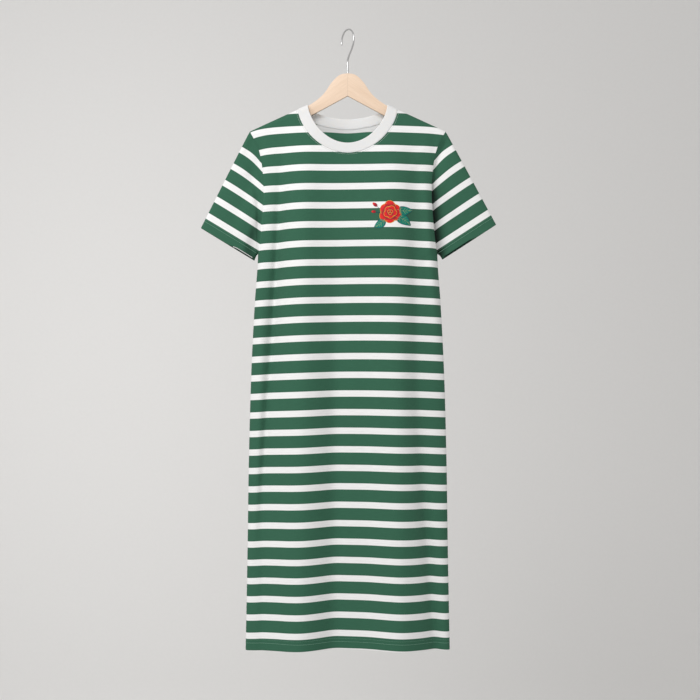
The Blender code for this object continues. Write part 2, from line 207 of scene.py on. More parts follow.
def creaseRelief(lines, x, z):
    relief = 0 * x
    for line in lines:
        (x0, z0), (x1, z1) = line["start"], line["end"]
        length = math.hypot(x1 - x0, z1 - z0)
        ux, uz = (x1 - x0) / length, (z1 - z0) / length
        along = ((x - x0) * ux + (z - z0) * uz) / length
        off = (x - x0) * uz - (z - z0) * ux
        window = ease((along + creaseEnds["past"]) / creaseEnds["fadeIn"])
        window = window * ease((1 + creaseEnds["past"] - along) / creaseEnds["fadeOut"])
        relief = relief + line["rise"] * np.exp(-np.square(off / line["width"])) * window
    return relief


def bodyDepth(side, x, z):
    share = np.clip(np.abs(x) / fromTable(bodySections, "halfWidth", z), 0, 1)
    roundness = np.sqrt(1 - share ** 2)
    below = np.clip(shoulderLine(x) - z, 0, None)
    onArm = 1 - np.clip(below / form["armRound"], 0, 1)
    overArm = form["armRound"] * np.sqrt(1 - onArm ** 2) * roundness ** form["armRoundPower"]
    fall = np.sin(np.clip(below / form["spread"], 0, 1) * math.pi / 2)
    belly = (fromTable(bodySections, side, z) - form["armRound"]) * fall * roundness
    fade = ease(below / form["foldFade"]) * ease(roundness / form["foldSide"])
    softFade = ease(below / form["creaseFade"]) * ease(roundness / form["creaseSide"])
    relief = foldRelief(side, x, z) * fade + creaseRelief(creases[side], x, z) * softFade
    return overArm + belly + relief


def bodyPoints(side, x, z):
    facing = -1 if side == "front" else 1
    return np.stack([x, facing * bodyDepth(side, x, z), z], axis=-1)


def bodyNormals(side, x, z):
    step = 0.0005
    acrossCloth = bodyPoints(side, x + step, z) - bodyPoints(side, x - step, z)
    upCloth = bodyPoints(side, x, z + step) - bodyPoints(side, x, z - step)
    normals = unit(np.cross(acrossCloth, upCloth))
    return normals if side == "front" else -normals


def neckCurve(side, angle, inner):
    halfWidth = form["neckInnerX"] if inner else form["neckX"]
    low = neckline[side]["edge" if inner else "seam"]
    high = shoulderLine(halfWidth) if inner else form["neckZ"]
    x = halfWidth * np.sin(angle)
    z = high - (high - low) * np.clip(np.cos(angle), 0, 1) ** form["neckPower"]
    return x, z


# stripes: a number that grows by one from each white stripe to the next

stripes = {
    "first": -0.2999,        # top of the white stripe under the neckband
    "pitch": 0.04155,
    "tighten": 0.000737,     # each repeat is this share shorter than the one above it
    "white": 0.338,          # share of a repeat
    "edge": 0.007,
    "centre": 0.018,
    "tipReach": 0.030,
    "neckSag": 0.035,
    "neckHold": 0.35,        # share of the back's rise that is lost right under the neck
}

# how far the stripes fall at the sides, how they tilt, how they fall right at each armhole,
# and how much higher they lie near the shoulders, on the front and then besides on the back
stripeFall = table("z side tilt tipRight tipLeft rise backRise", [
    (-1.370, 0.0080, 0.0000, 0.0000, 0.0000, 0.0000, 0.0000),
    (-1.100, 0.0074, -0.0005, 0.0000, 0.0000, 0.0000, 0.0000),
    (-0.800, 0.0070, -0.0006, 0.0000, 0.0000, 0.0000, 0.0000),
    (-0.650, 0.0064, -0.0009, 0.0000, 0.0000, 0.0000, 0.0000),
    (-0.500, 0.0050, -0.0013, 0.0008, 0.0008, 0.0000, 0.0000),
    (-0.400, 0.0030, -0.0015, 0.0010, 0.0005, 0.0000, 0.0010),
    (-0.340, 0.0010, -0.0018, 0.0020, 0.0005, 0.0000, 0.0024),
    (-0.300, 0.0000, -0.0014, 0.0036, 0.0010, 0.0000, 0.0040),
    (-0.258, 0.0000, -0.0010, 0.0080, 0.0016, 0.0005, 0.0058),
    (-0.2135, 0.0000, -0.0008, 0.0130, 0.0065, 0.0033, 0.0072),
    (-0.170, 0.0000, -0.0008, 0.0130, 0.0065, 0.0046, 0.0075),
])


def stripeNumber(side, x, z):
    share = (x - stripes["centre"]) / fromTable(bodySections, "halfWidth", z)
    edge = fromTable(armhole, side, z)
    toArm = np.clip(edge - np.abs(x), 0, None)
    tip = np.where(x < 0, fromTable(stripeFall, "tipRight", z), fromTable(stripeFall, "tipLeft", z))
    fall = fromTable(stripeFall, "side", z) * share ** 2 + fromTable(stripeFall, "tilt", z) * share
    fall = fall + tip * np.exp(-toArm / stripes["tipReach"]) - fromTable(stripeFall, "rise", z)
    if side == "back":
        held = stripes["neckHold"] * np.exp(-np.square(x / stripes["neckSag"]))
        fall = fall - fromTable(stripeFall, "backRise", z) * (1 - held)
    u = (stripes["first"] - z - fall) / stripes["pitch"]
    return (1 - np.sqrt(1 - 4 * stripes["tighten"] * u)) / (2 * stripes["tighten"])


# grids of cloth

panelGrid = {
    "hemRows": (0.0, 0.0003, 0.0008, 0.0015, 0.0025, 0.0042, 0.0066),
    "hemTop": 0.030,
    "skirtRows": 172,
    "hemInner": 8,
    "armholeRows": 58,
    "armholeCrowding": 1.35,
    "notchDrop": 0.036,
    "notchRows": 6,
    "ridgeRows": 8,
    "shoulderColumns": 34,
    "neckColumns": 94,
}


def rowHeights():
    g = panelGrid
    hem = form["hemZ"] + np.array(g["hemRows"])
    band = form["hemZ"] + np.linspace(g["hemRows"][-1], g["hemTop"], g["hemInner"] + 1)[1:]
    skirt = np.linspace(band[-1], form["underarmZ"], g["skirtRows"] + 1)[1:]
    skirt = np.concatenate([hem, band, skirt])
    ridgeDrops = form["armRound"] * (1 - np.cos(np.linspace(0, math.pi / 2, g["ridgeRows"] + 1)))
    drops = np.concatenate([np.linspace(g["notchDrop"], form["armRound"], g["notchRows"] + 1)[:-1],
                            ridgeDrops[::-1]])
    ridge = form["tipZ"] - drops
    climb = np.linspace(0, 1, g["armholeRows"] + 1) ** g["armholeCrowding"]
    arm = form["underarmZ"] + (ridge[0] - form["underarmZ"]) * climb
    heights = np.concatenate([skirt, arm[1:], ridge[1:]])
    return heights, len(skirt) - 1, len(skirt) - 1 + g["armholeRows"]


heights, underarmRow, notchRow = rowHeights()


def lift(z):
    return ease((z - form["liftFrom"]) / (form["tipZ"] - form["liftFrom"]))


def neckSideAngles(side):
    top = heights[notchRow:]
    top = top + (form["neckZ"] - form["tipZ"]) * lift(top)
    fall = np.clip(form["neckZ"] - top, 0, None)
    return np.arccos((fall / (form["neckZ"] - neckline[side]["seam"])) ** (1 / form["neckPower"]))


def neckAngles(side):
    steep = neckSideAngles(side)
    foot = np.linspace(-steep[0], steep[0], panelGrid["neckColumns"] + 1)
    return np.concatenate([-steep[::-1], foot[1:-1], steep])


def panelPoints(side):
    columns = panelGrid["shoulderColumns"]
    halfWidth = fromTable(bodySections, "halfWidth", heights)
    edgeX = np.where(heights > form["underarmZ"], fromTable(armhole, side, heights), halfWidth)
    steep = neckSideAngles(side)
    footX, footZ = neckCurve(side, np.linspace(-steep[0], steep[0], panelGrid["neckColumns"] + 1), False)
    sideX, sideZ = neckCurve(side, steep, False)

    outward = np.linspace(1, 0, columns + 1)[:-1]
    topX = form["neckX"] + (armhole[-1]["front"] - form["neckX"]) * outward
    rise = shoulderLine(topX) - form["tipZ"]
    notchX = sideX[0] + (edgeX[notchRow] - sideX[0]) * outward
    notchLift = lift(heights[notchRow])
    goalX = np.concatenate([-notchX, footX, notchX[::-1]])
    goalZ = np.concatenate([rise * notchLift, footZ - heights[notchRow], rise[::-1] * notchLift])

    across = np.linspace(-1, 1, len(goalX))
    edgeAngle = np.arcsin(np.clip(edgeX / halfWidth, 0, 1))
    bend = np.sin(edgeAngle[:, None] * across)
    fall = np.clip((form["underarmZ"] - heights) / (form["underarmZ"] - form["hemZ"]), 0, 1)[:, None]
    drooped = heights[:, None] - form["sideDroop"] * bend ** 2 * fall
    flatX = fromTable(bodySections, "halfWidth", drooped) * bend
    share = (lift(heights) / notchLift)[:, None]
    x = flatX + (goalX - flatX[notchRow]) * share
    z = drooped + goalZ * share

    strip = slice(None, columns + 1)       # above the foot of the neckline only the shoulders are left
    for step, row in enumerate(range(notchRow, len(heights))):
        stripX = np.append(sideX[step] + (edgeX[row] - sideX[step]) * outward, sideX[step])
        stripZ = np.append(heights[row] + rise * lift(heights[row]), sideZ[step])
        x[row, strip], z[row, strip] = -stripX, stripZ
        x[row, ::-1][strip], z[row, ::-1][strip] = stripX, stripZ
    return bodyPoints(side, x, z)


def gridFaces(rows, columns, ring=False, flip=False, skip=None):
    r = np.arange(rows - 1)[:, None]
    c = np.arange(columns if ring else columns - 1)[None, :]
    after = (c + 1) % columns
    corners = [r * columns + c, r * columns + after, (r + 1) * columns + after, (r + 1) * columns + c]
    faces = np.stack(np.broadcast_arrays(*corners), axis=-1)
    if skip is not None:
        faces = faces[~skip(np.broadcast_to(r, faces.shape[:2]), np.broadcast_to(c, faces.shape[:2]))]
    faces = faces.reshape(-1, 4)
    return faces[:, ::-1] if flip else faces


def overNeck(row, column):
    g = panelGrid
    inside = (column >= g["shoulderColumns"]) & (column < g["shoulderColumns"] + g["neckColumns"])
    return inside & (row >= notchRow)


def lengthAcross(points):
    steps = np.linalg.norm(np.diff(points, axis=1), axis=2)
    total = np.concatenate([np.zeros((len(points), 1)), np.cumsum(steps, axis=1)], axis=1)
    return total - total[:, points.shape[1] // 2:points.shape[1] // 2 + 1]


# sleeves

sleeveForm = {
    "capBulge": 0.0055,
    "capPower": 3,
    "underarmFlare": 0.5,
    "flarePower": 3,
    "cuffHalfDepth": 0.0145,
    "dipReach": 0.13,            # the sleeve dips beside the armhole seam, in shares of its length
    "cuffSquareness": 0.75,
    "gapeFade": (0.18, 0.06),    # the gape of a cuff sets in and ends over these shares of its width
    "downFade": (0.05, 0.25),    # creases fade towards the armhole and the cuff
    "acrossFade": (0.12, 0.15),  # and towards the top fold and the underarm
    "rows": 54,
    "cuffRows": (0.0003, 0.0008, 0.0015, 0.0025, 0.0042, 0.0066),
}

# the sleeve's stripes lie along the cuff, and sag a little towards the armhole higher up
sleeveStripes = {"first": 0.0375, "pitch": 0.0407, "plainFrom": 0.2240}
sleeveSag = table("z sag", [
    (0.000, 0.000), (0.037, 0.000), (0.077, 0.004), (0.118, 0.012), (0.160, 0.042), (0.200, 0.120),
    (0.250, 0.160),
])

# sleeve creases: share of the way to the cuff, share of the way from the top fold to the underarm
sleeveCreases = {
    "right": table("start end rise width", [
        ((0.00, 0.30), (0.80, 0.46), -0.0014, 0.090), ((0.10, 0.52), (0.90, 0.60), 0.0010, 0.090),
        ((0.10, 0.80), (1.10, 0.84), -0.0020, 0.100), ((0.20, 0.05), (0.15, 1.00), -0.0042, 0.075),
    ]),
    "left": table("start end rise width", [
        ((0.00, 0.36), (0.90, 0.50), -0.0014, 0.090), ((0.10, 0.58), (0.90, 0.64), 0.0010, 0.090),
        ((0.10, 0.84), (1.10, 0.86), -0.0022, 0.100),
    ]),
}

# gape: how far the front of the cuff stands back from its back, on the inner part of the cuff
# shadow: painted shadow of the fold beside the armhole seam
sleeves = {
    "right": {
        "hand": -1, "tip": (0.3240, -0.4370), "inner": (0.2065, -0.5085), "dip": 0.0046, "gape": 0.0044,
        "gapeFrom": 0.50, "creases": sleeveCreases["right"],
        "shadow": {"depth": 0.50, "off": 0.021, "reach": 0.014, "top": -0.375, "full": -0.420},
    },
    "left": {
        "hand": 1, "tip": (0.3275, -0.4295), "inner": (0.2095, -0.5060), "dip": 0.0085, "gape": 0.0036,
        "gapeFrom": 0.34, "creases": sleeveCreases["left"],
        "shadow": {"depth": 0.96, "off": 0.002, "reach": 0.0160, "top": -0.285, "full": -0.365},
    },
}


def cuffEnds(sleeve):
    return (np.array([sleeve["hand"] * sleeve[end][0], 0, sleeve[end][1]]) for end in ("tip", "inner"))


def sleevePoints(sleeve, front, back):
    s = sleeveForm
    edge = 0 if sleeve["hand"] < 0 else -1
    frontEdge = front[underarmRow:, edge][::-1]
    backEdge = back[underarmRow:, edge]
    hole = np.concatenate([frontEdge, backEdge[1:-1]])
    tip, inner = cuffEnds(sleeve)
    along = unit(inner - tip)
    out = np.array([-along[2] * sleeve["hand"], 0, along[0] * sleeve["hand"]])
    reach = (hole - hole[0]) @ along
    share = np.clip(reach / reach[len(frontEdge) - 1], 0, 1)[:, None]
    hollow = s["cuffHalfDepth"] * np.sqrt(1 - (2 * share - 1) ** 2) ** s["cuffSquareness"]
    cuff = tip + share * (inner - tip)
    cuff[:, 1:2] = np.sign(hole[:, 1:2]) * hollow
    gape = sleeve["gape"] * ease((share - sleeve["gapeFrom"]) / s["gapeFade"][0])
    gape = gape * ease((1 - share) / s["gapeFade"][1])
    gape = np.where(hole[:, 1:2] < 0, gape, 0)
    cuff = cuff - out * gape
    length = np.linalg.norm(cuff[0] - hole[0])
    ends = 1 - np.array(s["cuffRows"])[::-1] / length
    down = np.concatenate([np.linspace(0, ends[0], s["rows"] + 1), ends[1:], [1.0]])[:, None, None]
    points = hole + (cuff - hole) * down
    early = down ** (1 - s["underarmFlare"] * share ** s["flarePower"])
    points[..., :1] = (hole + (cuff - hole) * early)[..., :1]
    bulge = s["capBulge"] * np.sin(np.sqrt(down) * math.pi)
    points = points + out * (1 - share) ** s["capPower"] * bulge
    relief = creaseRelief(sleeve["creases"], np.broadcast_to(down[..., 0], points.shape[:2]),
                          np.broadcast_to(share[:, 0], points.shape[:2]))
    relief = relief - sleeve["dip"] * np.exp(-np.square(down[..., 0] / s["dipReach"]))
    hold = ease(down[..., 0] / s["downFade"][0]) * ease((1 - down[..., 0]) / s["downFade"][1])
    hold = hold * ease(share[:, 0] / s["acrossFade"][0]) * ease((1 - share[:, 0]) / s["acrossFade"][1])
    points[..., 1] += np.sign(hole[:, 1]) * relief * hold
    up = (tip - points) @ out
    inward = np.clip((points - tip) @ along / np.linalg.norm(inner - tip), 0, 1)
    up = np.minimum(up + fromTable(sleeveSag, "sag", up) * inward ** 2, sleeveStripes["plainFrom"])
    number = (sleeveStripes["first"] - up) / sleeveStripes["pitch"]
    return points, number, gape[:, 0]


# neckband: rib folded double, so its section is a flat loop with a round inner edge

band = {
    "thickness": 0.0021,
    "flatSteps": 14,
    "edgeSteps": 7,
    "proud": 0.0002,
    "foot": 0.46,                # share of the thickness at the seam
    "footStep": 0.14,            # share of the width over which it swells
}


def bandPath(step):
    rings = []
    for side, angle in (("front", neckAngles("front")), ("back", neckAngles("back")[::-1][1:-1])):
        outerX, outerZ = neckCurve(side, angle, False)
        innerX, innerZ = neckCurve(side, angle, True)
        rings.append(bodyPoints(side, outerX + (innerX - outerX) * step, outerZ + (innerZ - outerZ) * step))
    return np.concatenate(rings)


# walls

def gridNormals(points, faces):
    flat = points.reshape(-1, 3)
    a, b, c, d = (flat[faces[:, i]] for i in range(4))
    normal = unit(np.cross(c - a, d - b) + nearZero)
    sums = np.zeros_like(flat)
    for i in range(4):
        np.add.at(sums, faces[:, i], normal)
    return sums


def openEdges(faces):
    a = faces.reshape(-1)
    b = np.roll(faces, -1, axis=1).reshape(-1)
    many = faces.max() + 1
    inner = np.isin(a * many + b, b * many + a)
    return np.stack([a[~inner], b[~inner]], axis=1)


def edgeDistance(points, rim):
    tree = kdtree.KDTree(len(rim))
    for i, p in enumerate(points[rim]):
        tree.insert(p, i)
    tree.balance()
    return np.array([tree.find(p)[2] for p in points])


def meshPiece(name, points, faces, uv=None):
    mesh = bpy.data.meshes.new(name)
    mesh.from_pydata(points.tolist(), [], faces.tolist())
    if uv is not None:
        layer = mesh.uv_layers.new(name="clothUv")
        loops = np.zeros(len(mesh.loops), int)
        mesh.loops.foreach_get("vertex_index", loops)
        layer.data.foreach_set("uv", uv[loops].astype(np.float32).ravel())
    mesh.shade_smooth()
    piece = bpy.data.objects.new(name, mesh)
    bpy.context.scene.collection.objects.link(piece)
    return piece


def makeWall(name, points, faces, normals, outer, inner, uv, sharp=50):
    flat = points.reshape(-1, 3)
    used = np.unique(faces)
    place = np.full(len(flat), -1)
    place[used] = np.arange(len(used))
    faces = place[faces]
    flat, normals, outer, inner, uv = (a[used] for a in (flat, normals, outer, inner, uv))
    rim = openEdges(faces)
    n = len(flat)
    sides = np.stack([rim[:, 1], rim[:, 0], rim[:, 0] + n, rim[:, 1] + n], axis=1)
    walls = np.concatenate([flat + normals * outer[:, None], flat - normals * inner[:, None]])
    allFaces = np.concatenate([faces, faces[:, ::-1] + n, sides])
    piece = meshPiece(name, walls, allFaces, np.concatenate([uv, uv]))
    piece.data.set_sharp_from_angle(angle=math.radians(sharp))
    return piece


# the jersey pieces share their normals at the seams

jersey = {
    "thickness": 0.0010,
    "edgeRound": (0.0012, 0.06),     # how far from the hem the wall rounds off, and its least share
    "hem": 0.0250,
    "cuffHem": 0.0200,
    "hemTurn": 0.0016,
    "hemLine": 0.0005,               # a rim nearer to the hem than this isn't a seam
    "leastLean": 0.5,
    "seamDip": 0.00045,
    "seamWidth": 0.0016,
    "neckReach": 0.112,              # seams nearer to the middle are the neck's, and lie flatter
    "neckDip": 0.2,
    # painted shade along the seams: the colour darkens within seamShadeWidth of a seam, less by the neck
    "neckShade": 0.3,
    "seamShadeWidth": 0.0022,
    "seamShade": 0.09,
    "seamGlint": 0.26,               # painted highlight along the edge of the front by the right armhole, where it would catch the light
    "glintPlace": (-0.15, -0.30, 0.06),
    "insideShade": 0.72,             # depth of painted shade inside the back of the cuffs
    "insideReach": 1.6,
    "pucker": 0.00016,
    "puckerLength": 0.011,
    "puckerSway": 310,
    "puckerInside": 0.6,
}

front = panelPoints("front")
back = panelPoints("back")
nets = {
    "dressFront": {"points": front, "faces": gridFaces(*front.shape[:2], skip=overNeck)},
    "dressBack": {"points": back, "faces": gridFaces(*back.shape[:2], flip=True, skip=overNeck)},
}
for side, pts in (("front", front), ("back", back)):
    net = nets["dress" + side.capitalize()]
    net["number"] = stripeNumber(side, pts[..., 0], pts[..., 2])
    net["across"] = lengthAcross(pts)
    net["toHem"] = np.clip(pts[..., 2] - pts[0, :, 2], 0, None)
    net["hem"] = jersey["hem"]
for side, sleeve in sleeves.items():
    pts, number, gape = sleevePoints(sleeve, front, back)
    net = {"points": pts, "faces": gridFaces(*pts.shape[:2], ring=True, flip=sleeve["hand"] < 0)}
    net["number"] = number
    net["across"] = lengthAcross(pts)
    net["toHem"] = np.linalg.norm(pts - pts[-1], axis=2)
    net["toEdge"] = net["toHem"] + gape
    net["hem"] = jersey["cuffHem"]
    # painted shadow beside the armhole seam, fading in downwards along the armhole
    shadow = sleeve["shadow"]
    soft = ease((shadow["top"] - pts[:1, :, 2]) / (shadow["top"] - shadow["full"]))
    net["soft"] = np.broadcast_to(soft, number.shape)
    net["shadow"] = shadow
    nets["sleeve" + side.capitalize()] = net
print("cloth grids:", {name: net["points"].shape[:2] for name, net in nets.items()})

placeDigits = 6          # points that agree to so many decimals are one
every = np.concatenate([net["points"].reshape(-1, 3) for net in nets.values()])
sums = np.concatenate([gridNormals(net["points"], net["faces"]) for net in nets.values()])
keys, same = np.unique(np.round(every, placeDigits) + 0.0, axis=0, return_inverse=True)
same = same.ravel()
shared = np.zeros((len(keys), 3))
np.add.at(shared, same, sums)
start = 0
for name, net in nets.items():
    count = net["points"].reshape(-1, 3).shape[0]
    piece = slice(start, start + count)
    own = sums[piece]
    normal = unit(shared[same[piece]] + nearZero)
    lean = np.clip((normal * unit(own + nearZero)).sum(axis=1), jersey["leastLean"], 1)
    net["normals"], net["lean"] = normal, lean
    start += count


def buildJersey(name, net, node):
    j = jersey
    pts = net["points"].reshape(-1, 3)
    used = np.unique(net["faces"])
    rim = np.unique(openEdges(net["faces"]))
    toHem = net["toHem"].ravel()
    distance = np.full(len(pts), 1.0)
    distance[used] = edgeDistance(pts, rim[toHem[rim] > j["hemLine"]])[used]
    byNeck = np.abs(pts[:, 0]) < j["neckReach"]
    atSeam = np.exp(-np.square(distance / j["seamWidth"]))
    wave = np.sin(pts[:, 2] / j["puckerLength"] * 2 * math.pi) * np.cos(pts[:, 0] * j["puckerSway"])
    near = np.exp(-np.square(distance / (3 * j["seamWidth"])))
    dip = j["seamDip"] * atSeam * np.where(byNeck, j["neckDip"], 1)
    relief = j["pucker"] * wave * near * (1 - atSeam) - dip
    half = j["thickness"] / 2
    turned = ease((net["hem"] + j["hemTurn"] / 2 - toHem) / j["hemTurn"])      # the hem is two layers thick
    innerWall = half + j["thickness"] * turned
    roundEdge = np.sqrt(1 - np.square(1 - np.clip(toHem / j["edgeRound"][0], j["edgeRound"][1], 1)))
    outer = (half + relief) * roundEdge / net["lean"]
    inner = (innerWall * roundEdge - relief * j["puckerInside"]) / net["lean"]
    uv = np.stack([net["across"].ravel(), net["number"].ravel()], axis=1)
    piece = makeWall(name, net["points"], net["faces"], net["normals"], outer, inner, uv)

    # painted shade along the seams, lighter by the neck; a painted highlight by the right armhole lightens
    # the colour instead
    x, top, fade = j["glintPlace"]
    lit = (pts[:, 0] < x) * ease((top - pts[:, 2]) / fade) * (name == "dressFront")
    shade = np.exp(-np.square(distance / j["seamShadeWidth"]))
    shade = shade * (j["seamShade"] * np.where(byNeck, j["neckShade"], 1) - j["seamGlint"] * lit)
    dark = 0 * shade
    if "shadow" in net:
        # painted shadow of the fold beside the armhole seam
        off = (distance - net["shadow"]["off"]) / net["shadow"]["reach"]
        shade = np.maximum(shade, net["shadow"]["depth"] * net["soft"].ravel() * np.exp(-np.square(off)))
        # painted shade inside the back of the cuffs
        dark = j["insideShade"] * (pts[:, 1] > 0) * ease(j["insideReach"] - toHem / j["cuffHem"])
    shade, dark = shade[used], dark[used]
    # seamShade carries the painted shade and highlight; the inner wall is also marked for its paler green,
    # which is partly painted light
    for label, outside, inside in (("seamShade", shade, np.maximum(shade, dark)),
                                   ("reverse", 0 * shade, 0 * shade + 1)):
        layer = piece.data.attributes.new(label, "FLOAT", "POINT")
        layer.data.foreach_set("value", np.concatenate([outside, inside]).astype(np.float32))
    sewOn(piece, node)


for name, node in (("dressFront", "front"), ("dressBack", "back"),
                   ("sleeveRight", "sleeve_right"), ("sleeveLeft", "sleeve_left")):
    buildJersey(name, nets[name], node)
print("jersey sewn")


def buildBand():
    b = band
    flat = np.linspace(0, 1, b["flatSteps"] + 1)
    path = np.stack([bandPath(step) for step in flat])
    faces = gridFaces(*path.shape[:2], ring=True)
    normals = unit(gridNormals(path, faces)).reshape(path.shape)
    half = b["thickness"] / 2
    last = path[-1]
    inward = unit(path[-1] - path[-2])
    section = []
    swell = np.minimum(1, flat / b["footStep"])
    for i, step in enumerate(flat):
        rise = half * (b["foot"] + (1 - b["foot"]) * math.sin(math.pi / 2 * swell[i]))
        section.append(path[i] + normals[i] * (rise + b["proud"] * (step > 0)))
    for angle in np.linspace(0, math.pi, b["edgeSteps"] + 2)[1:-1]:
        section.append(last + (normals[-1] * math.cos(angle) + inward * math.sin(angle)) * half
                       + normals[-1] * b["proud"] * math.cos(angle))
    for i in range(len(flat) - 1, -1, -1):
        section.append(path[i] - normals[i] * half * (b["foot"] + (1 - b["foot"]) * swell[i]))
    loop = np.stack(section)
    rows, columns = loop.shape[:2]
    faces = gridFaces(rows + 1, columns, ring=True) % (rows * columns)
    around = np.linalg.norm(np.diff(np.concatenate([last, last[:1]]), axis=0), axis=1)
    u = np.concatenate([[0], np.cumsum(around)[:-1]])
    v = np.cumsum(np.concatenate([[0], np.linalg.norm(np.diff(loop[:, 0], axis=0), axis=1)]))
    uv = np.stack(np.broadcast_arrays(u[None, :], v[:, None]), axis=-1).reshape(-1, 2)
    sewOn(meshPiece("neckbandRib", loop.reshape(-1, 3), faces, uv), "neckband")


buildBand()
print("neckband sewn")


# hanger: one board in outline, rounded, then sawn at the mitre into its two arms

hanger = {
    "thickness": 0.011,
    "round": 0.0040,
    "roundSteps": 5,
    "roundFrom": 60,             # edges sharper than this many degrees are rounded
    "outlineSteps": 9,
    "sawCut": 0.00004,
    "smooth": 30,
}

armTop = table("x z", [
    (0.0000, -0.0955), (0.0125, -0.0972), (0.0230, -0.1030), (0.0365, -0.1172), (0.0470, -0.1330),
    (0.0570, -0.1450), (0.0720, -0.1575), (0.0885, -0.1677), (0.1150, -0.1795), (0.1880, -0.2133),
    (0.1945, -0.2200), (0.1960, -0.2270), (0.1900, -0.2320),
])
armUnder = table("x z", [
    (0.1300, -0.2080), (0.0800, -0.1880), (0.0000, -0.1450),
])


def alongRows(rows, keys, steps):
    spans = np.arange(len(rows))
    where = np.linspace(0, len(rows) - 1, (len(rows) - 1) * steps + 1)
    return [smoothCurve(spans, [row[key] for row in rows], where) for key in keys]


def armOutline():
    x, z = alongRows(armTop, ("x", "z"), hanger["outlineSteps"])
    right = list(zip(x, z)) + [(p["x"], p["z"]) for p in armUnder]
    left = [(-x, z) for x, z in right[1:-1]]
    return right + left[::-1]


def cleanEdit(piece):
    bpy.ops.object.select_all(action="DESELECT")
    bpy.context.view_layer.objects.active = piece
    piece.select_set(True)
    bpy.ops.object.mode_set(mode="EDIT")
    bpy.ops.mesh.select_all(action="SELECT")


def endEdit():
    bpy.ops.mesh.select_all(action="SELECT")
    bpy.ops.mesh.normals_make_consistent(inside=False)
    bpy.ops.object.mode_set(mode="OBJECT")


def buildArm(name, hand, node):
    outline = armOutline()
    bpy.ops.object.select_all(action="DESELECT")
    bpy.ops.mesh.primitive_circle_add(vertices=len(outline), radius=1, fill_type="NGON")
    arm = bpy.context.object
    arm.name = name
    for vertex, (x, z) in zip(arm.data.vertices, outline):
        vertex.co = (x, -hanger["thickness"] / 2, z)
    cleanEdit(arm)
    bpy.ops.mesh.extrude_region_move(TRANSFORM_OT_translate={"value": (0, hanger["thickness"], 0)})
    endEdit()
    edge = arm.modifiers.new("roundEdges", "BEVEL")
    edge.width = hanger["round"]
    edge.segments = hanger["roundSteps"]
    edge.limit_method = "ANGLE"
    edge.angle_limit = math.radians(hanger["roundFrom"])
    bpy.ops.object.modifier_apply(modifier=edge.name)
    cleanEdit(arm)
    bpy.ops.mesh.bisect(plane_co=(hand * hanger["sawCut"], 0, 0), plane_no=(hand, 0, 0),
                        use_fill=True, clear_inner=True)
    endEdit()
    bpy.ops.object.shade_smooth_by_angle(angle=math.radians(hanger["smooth"]))
    sewOn(arm, node)


buildArm("hangerArmRight", -1, "hanger_arm_right")
buildArm("hangerArmLeft", 1, "hanger_arm_left")


# hook: round wire in an upright plane that is turned away from the rail

wire = {"turn": 57.5, "radius": 0.0019, "steps": 12, "sides": 6, "smooth": 40}

hookPath = table("out z girth", [
    (0.0000, -0.0952, 1.00), (0.0000, -0.0810, 1.00), (0.0000, -0.0670, 1.00), (0.0056, -0.0565, 0.98),
    (0.0158, -0.0445, 0.94), (0.0235, -0.0320, 0.92), (0.0250, -0.0215, 0.92), (0.0224, -0.0112, 0.92),
    (0.0129, -0.0012, 0.92), (0.0000, 0.0020, 0.92), (-0.0129, -0.0012, 0.92), (-0.0224, -0.0112, 0.92),
    (-0.0250, -0.0215, 0.92), (-0.0247, -0.0265, 0.92), (-0.0246, -0.0271, 0.60),
])


# tubes along paths, each point with its own share of the radius
def tubes(name, paths, radius, sides, girths=None, merge=0.00001):
    bpy.ops.object.select_all(action="DESELECT")
    bpy.ops.curve.primitive_nurbs_path_add()
    piece = bpy.context.object
    piece.name = name
    piece.data.splines.clear()
    for path in paths:
        spline = piece.data.splines.new("POLY")
        spline.points.add(len(path) - 1)
        spline.points.foreach_set("co", np.column_stack([path, np.ones(len(path))]).ravel())
        if girths is not None:
            spline.points.foreach_set("radius", girths)
    piece.data.bevel_depth = radius
    piece.data.bevel_resolution = sides
    piece.data.use_fill_caps = True
    bpy.ops.object.convert(target="MESH")
    cleanEdit(piece)
    bpy.ops.mesh.remove_doubles(threshold=merge)
    endEdit()
    bpy.ops.object.shade_smooth()
    return piece


def buildHook():
    out, z, girth = alongRows(hookPath, ("out", "z", "girth"), wire["steps"])
    turn = math.radians(wire["turn"])
    path = np.column_stack([out * math.cos(turn), -out * math.sin(turn), z])
    hook = tubes("hangerHook", [path], wire["radius"], wire["sides"], girths=girth, merge=0.00002)
    bpy.ops.object.shade_smooth_by_angle(angle=math.radians(wire["smooth"]))
    sewOn(hook, "hanger_hook")


buildHook()
print("hanger built")


# sewing thread: rows of short stitches, sunk into the cloth at both ends

thread = {
    "radius": 0.00034,
    "coverRadius": 0.00018,
    "neckRadius": 0.00022,
    "sides": 1,
    "stitch": 0.0027,
    "gap": 0.0006,
    "arch": ((0, -0.0002), (0.2, 0.0002), (0.8, 0.0002), (1, -0.0002)),     # share of a stitch, height
    "hemRows": (0.0162, 0.0232),
    "cuffRows": (0.0170, 0.0222),
    "neckStep": -0.135,          # beside the neckband, as a share of its width
    "overlockRadius": 0.00085,
    "overlockPlace": (-0.0004, 0.0010, -0.0007),
    "overlockSpan": (0.60, 0.960),     # shares of the cuff's width
    "overlockClear": 0.0005,     # it keeps to the front of the cuff, at least this far from its middle
}


def levelLine(net, height):
    shape = net["points"].shape
    normals = net["normals"].reshape(shape)
    line, facing = np.zeros((2, shape[1], 3))
    for column in range(shape[1]):
        toEdge = net.get("toEdge", net["toHem"])[:, column]
        order = np.argsort(toEdge)
        level = toEdge[order]
        for k in range(3):
            line[column, k] = np.interp(height, level, net["points"][order, column, k])
            facing[column, k] = np.interp(height, level, normals[order, column, k])
    return line, unit(facing)


def neckLine(side, step):
    angle = neckAngles(side)
    outerX, outerZ = neckCurve(side, angle, False)
    innerX, innerZ = neckCurve(side, angle, True)
    x, z = outerX + (innerX - outerX) * step, outerZ + (innerZ - outerZ) * step
    return bodyPoints(side, x, z), bodyNormals(side, x, z)


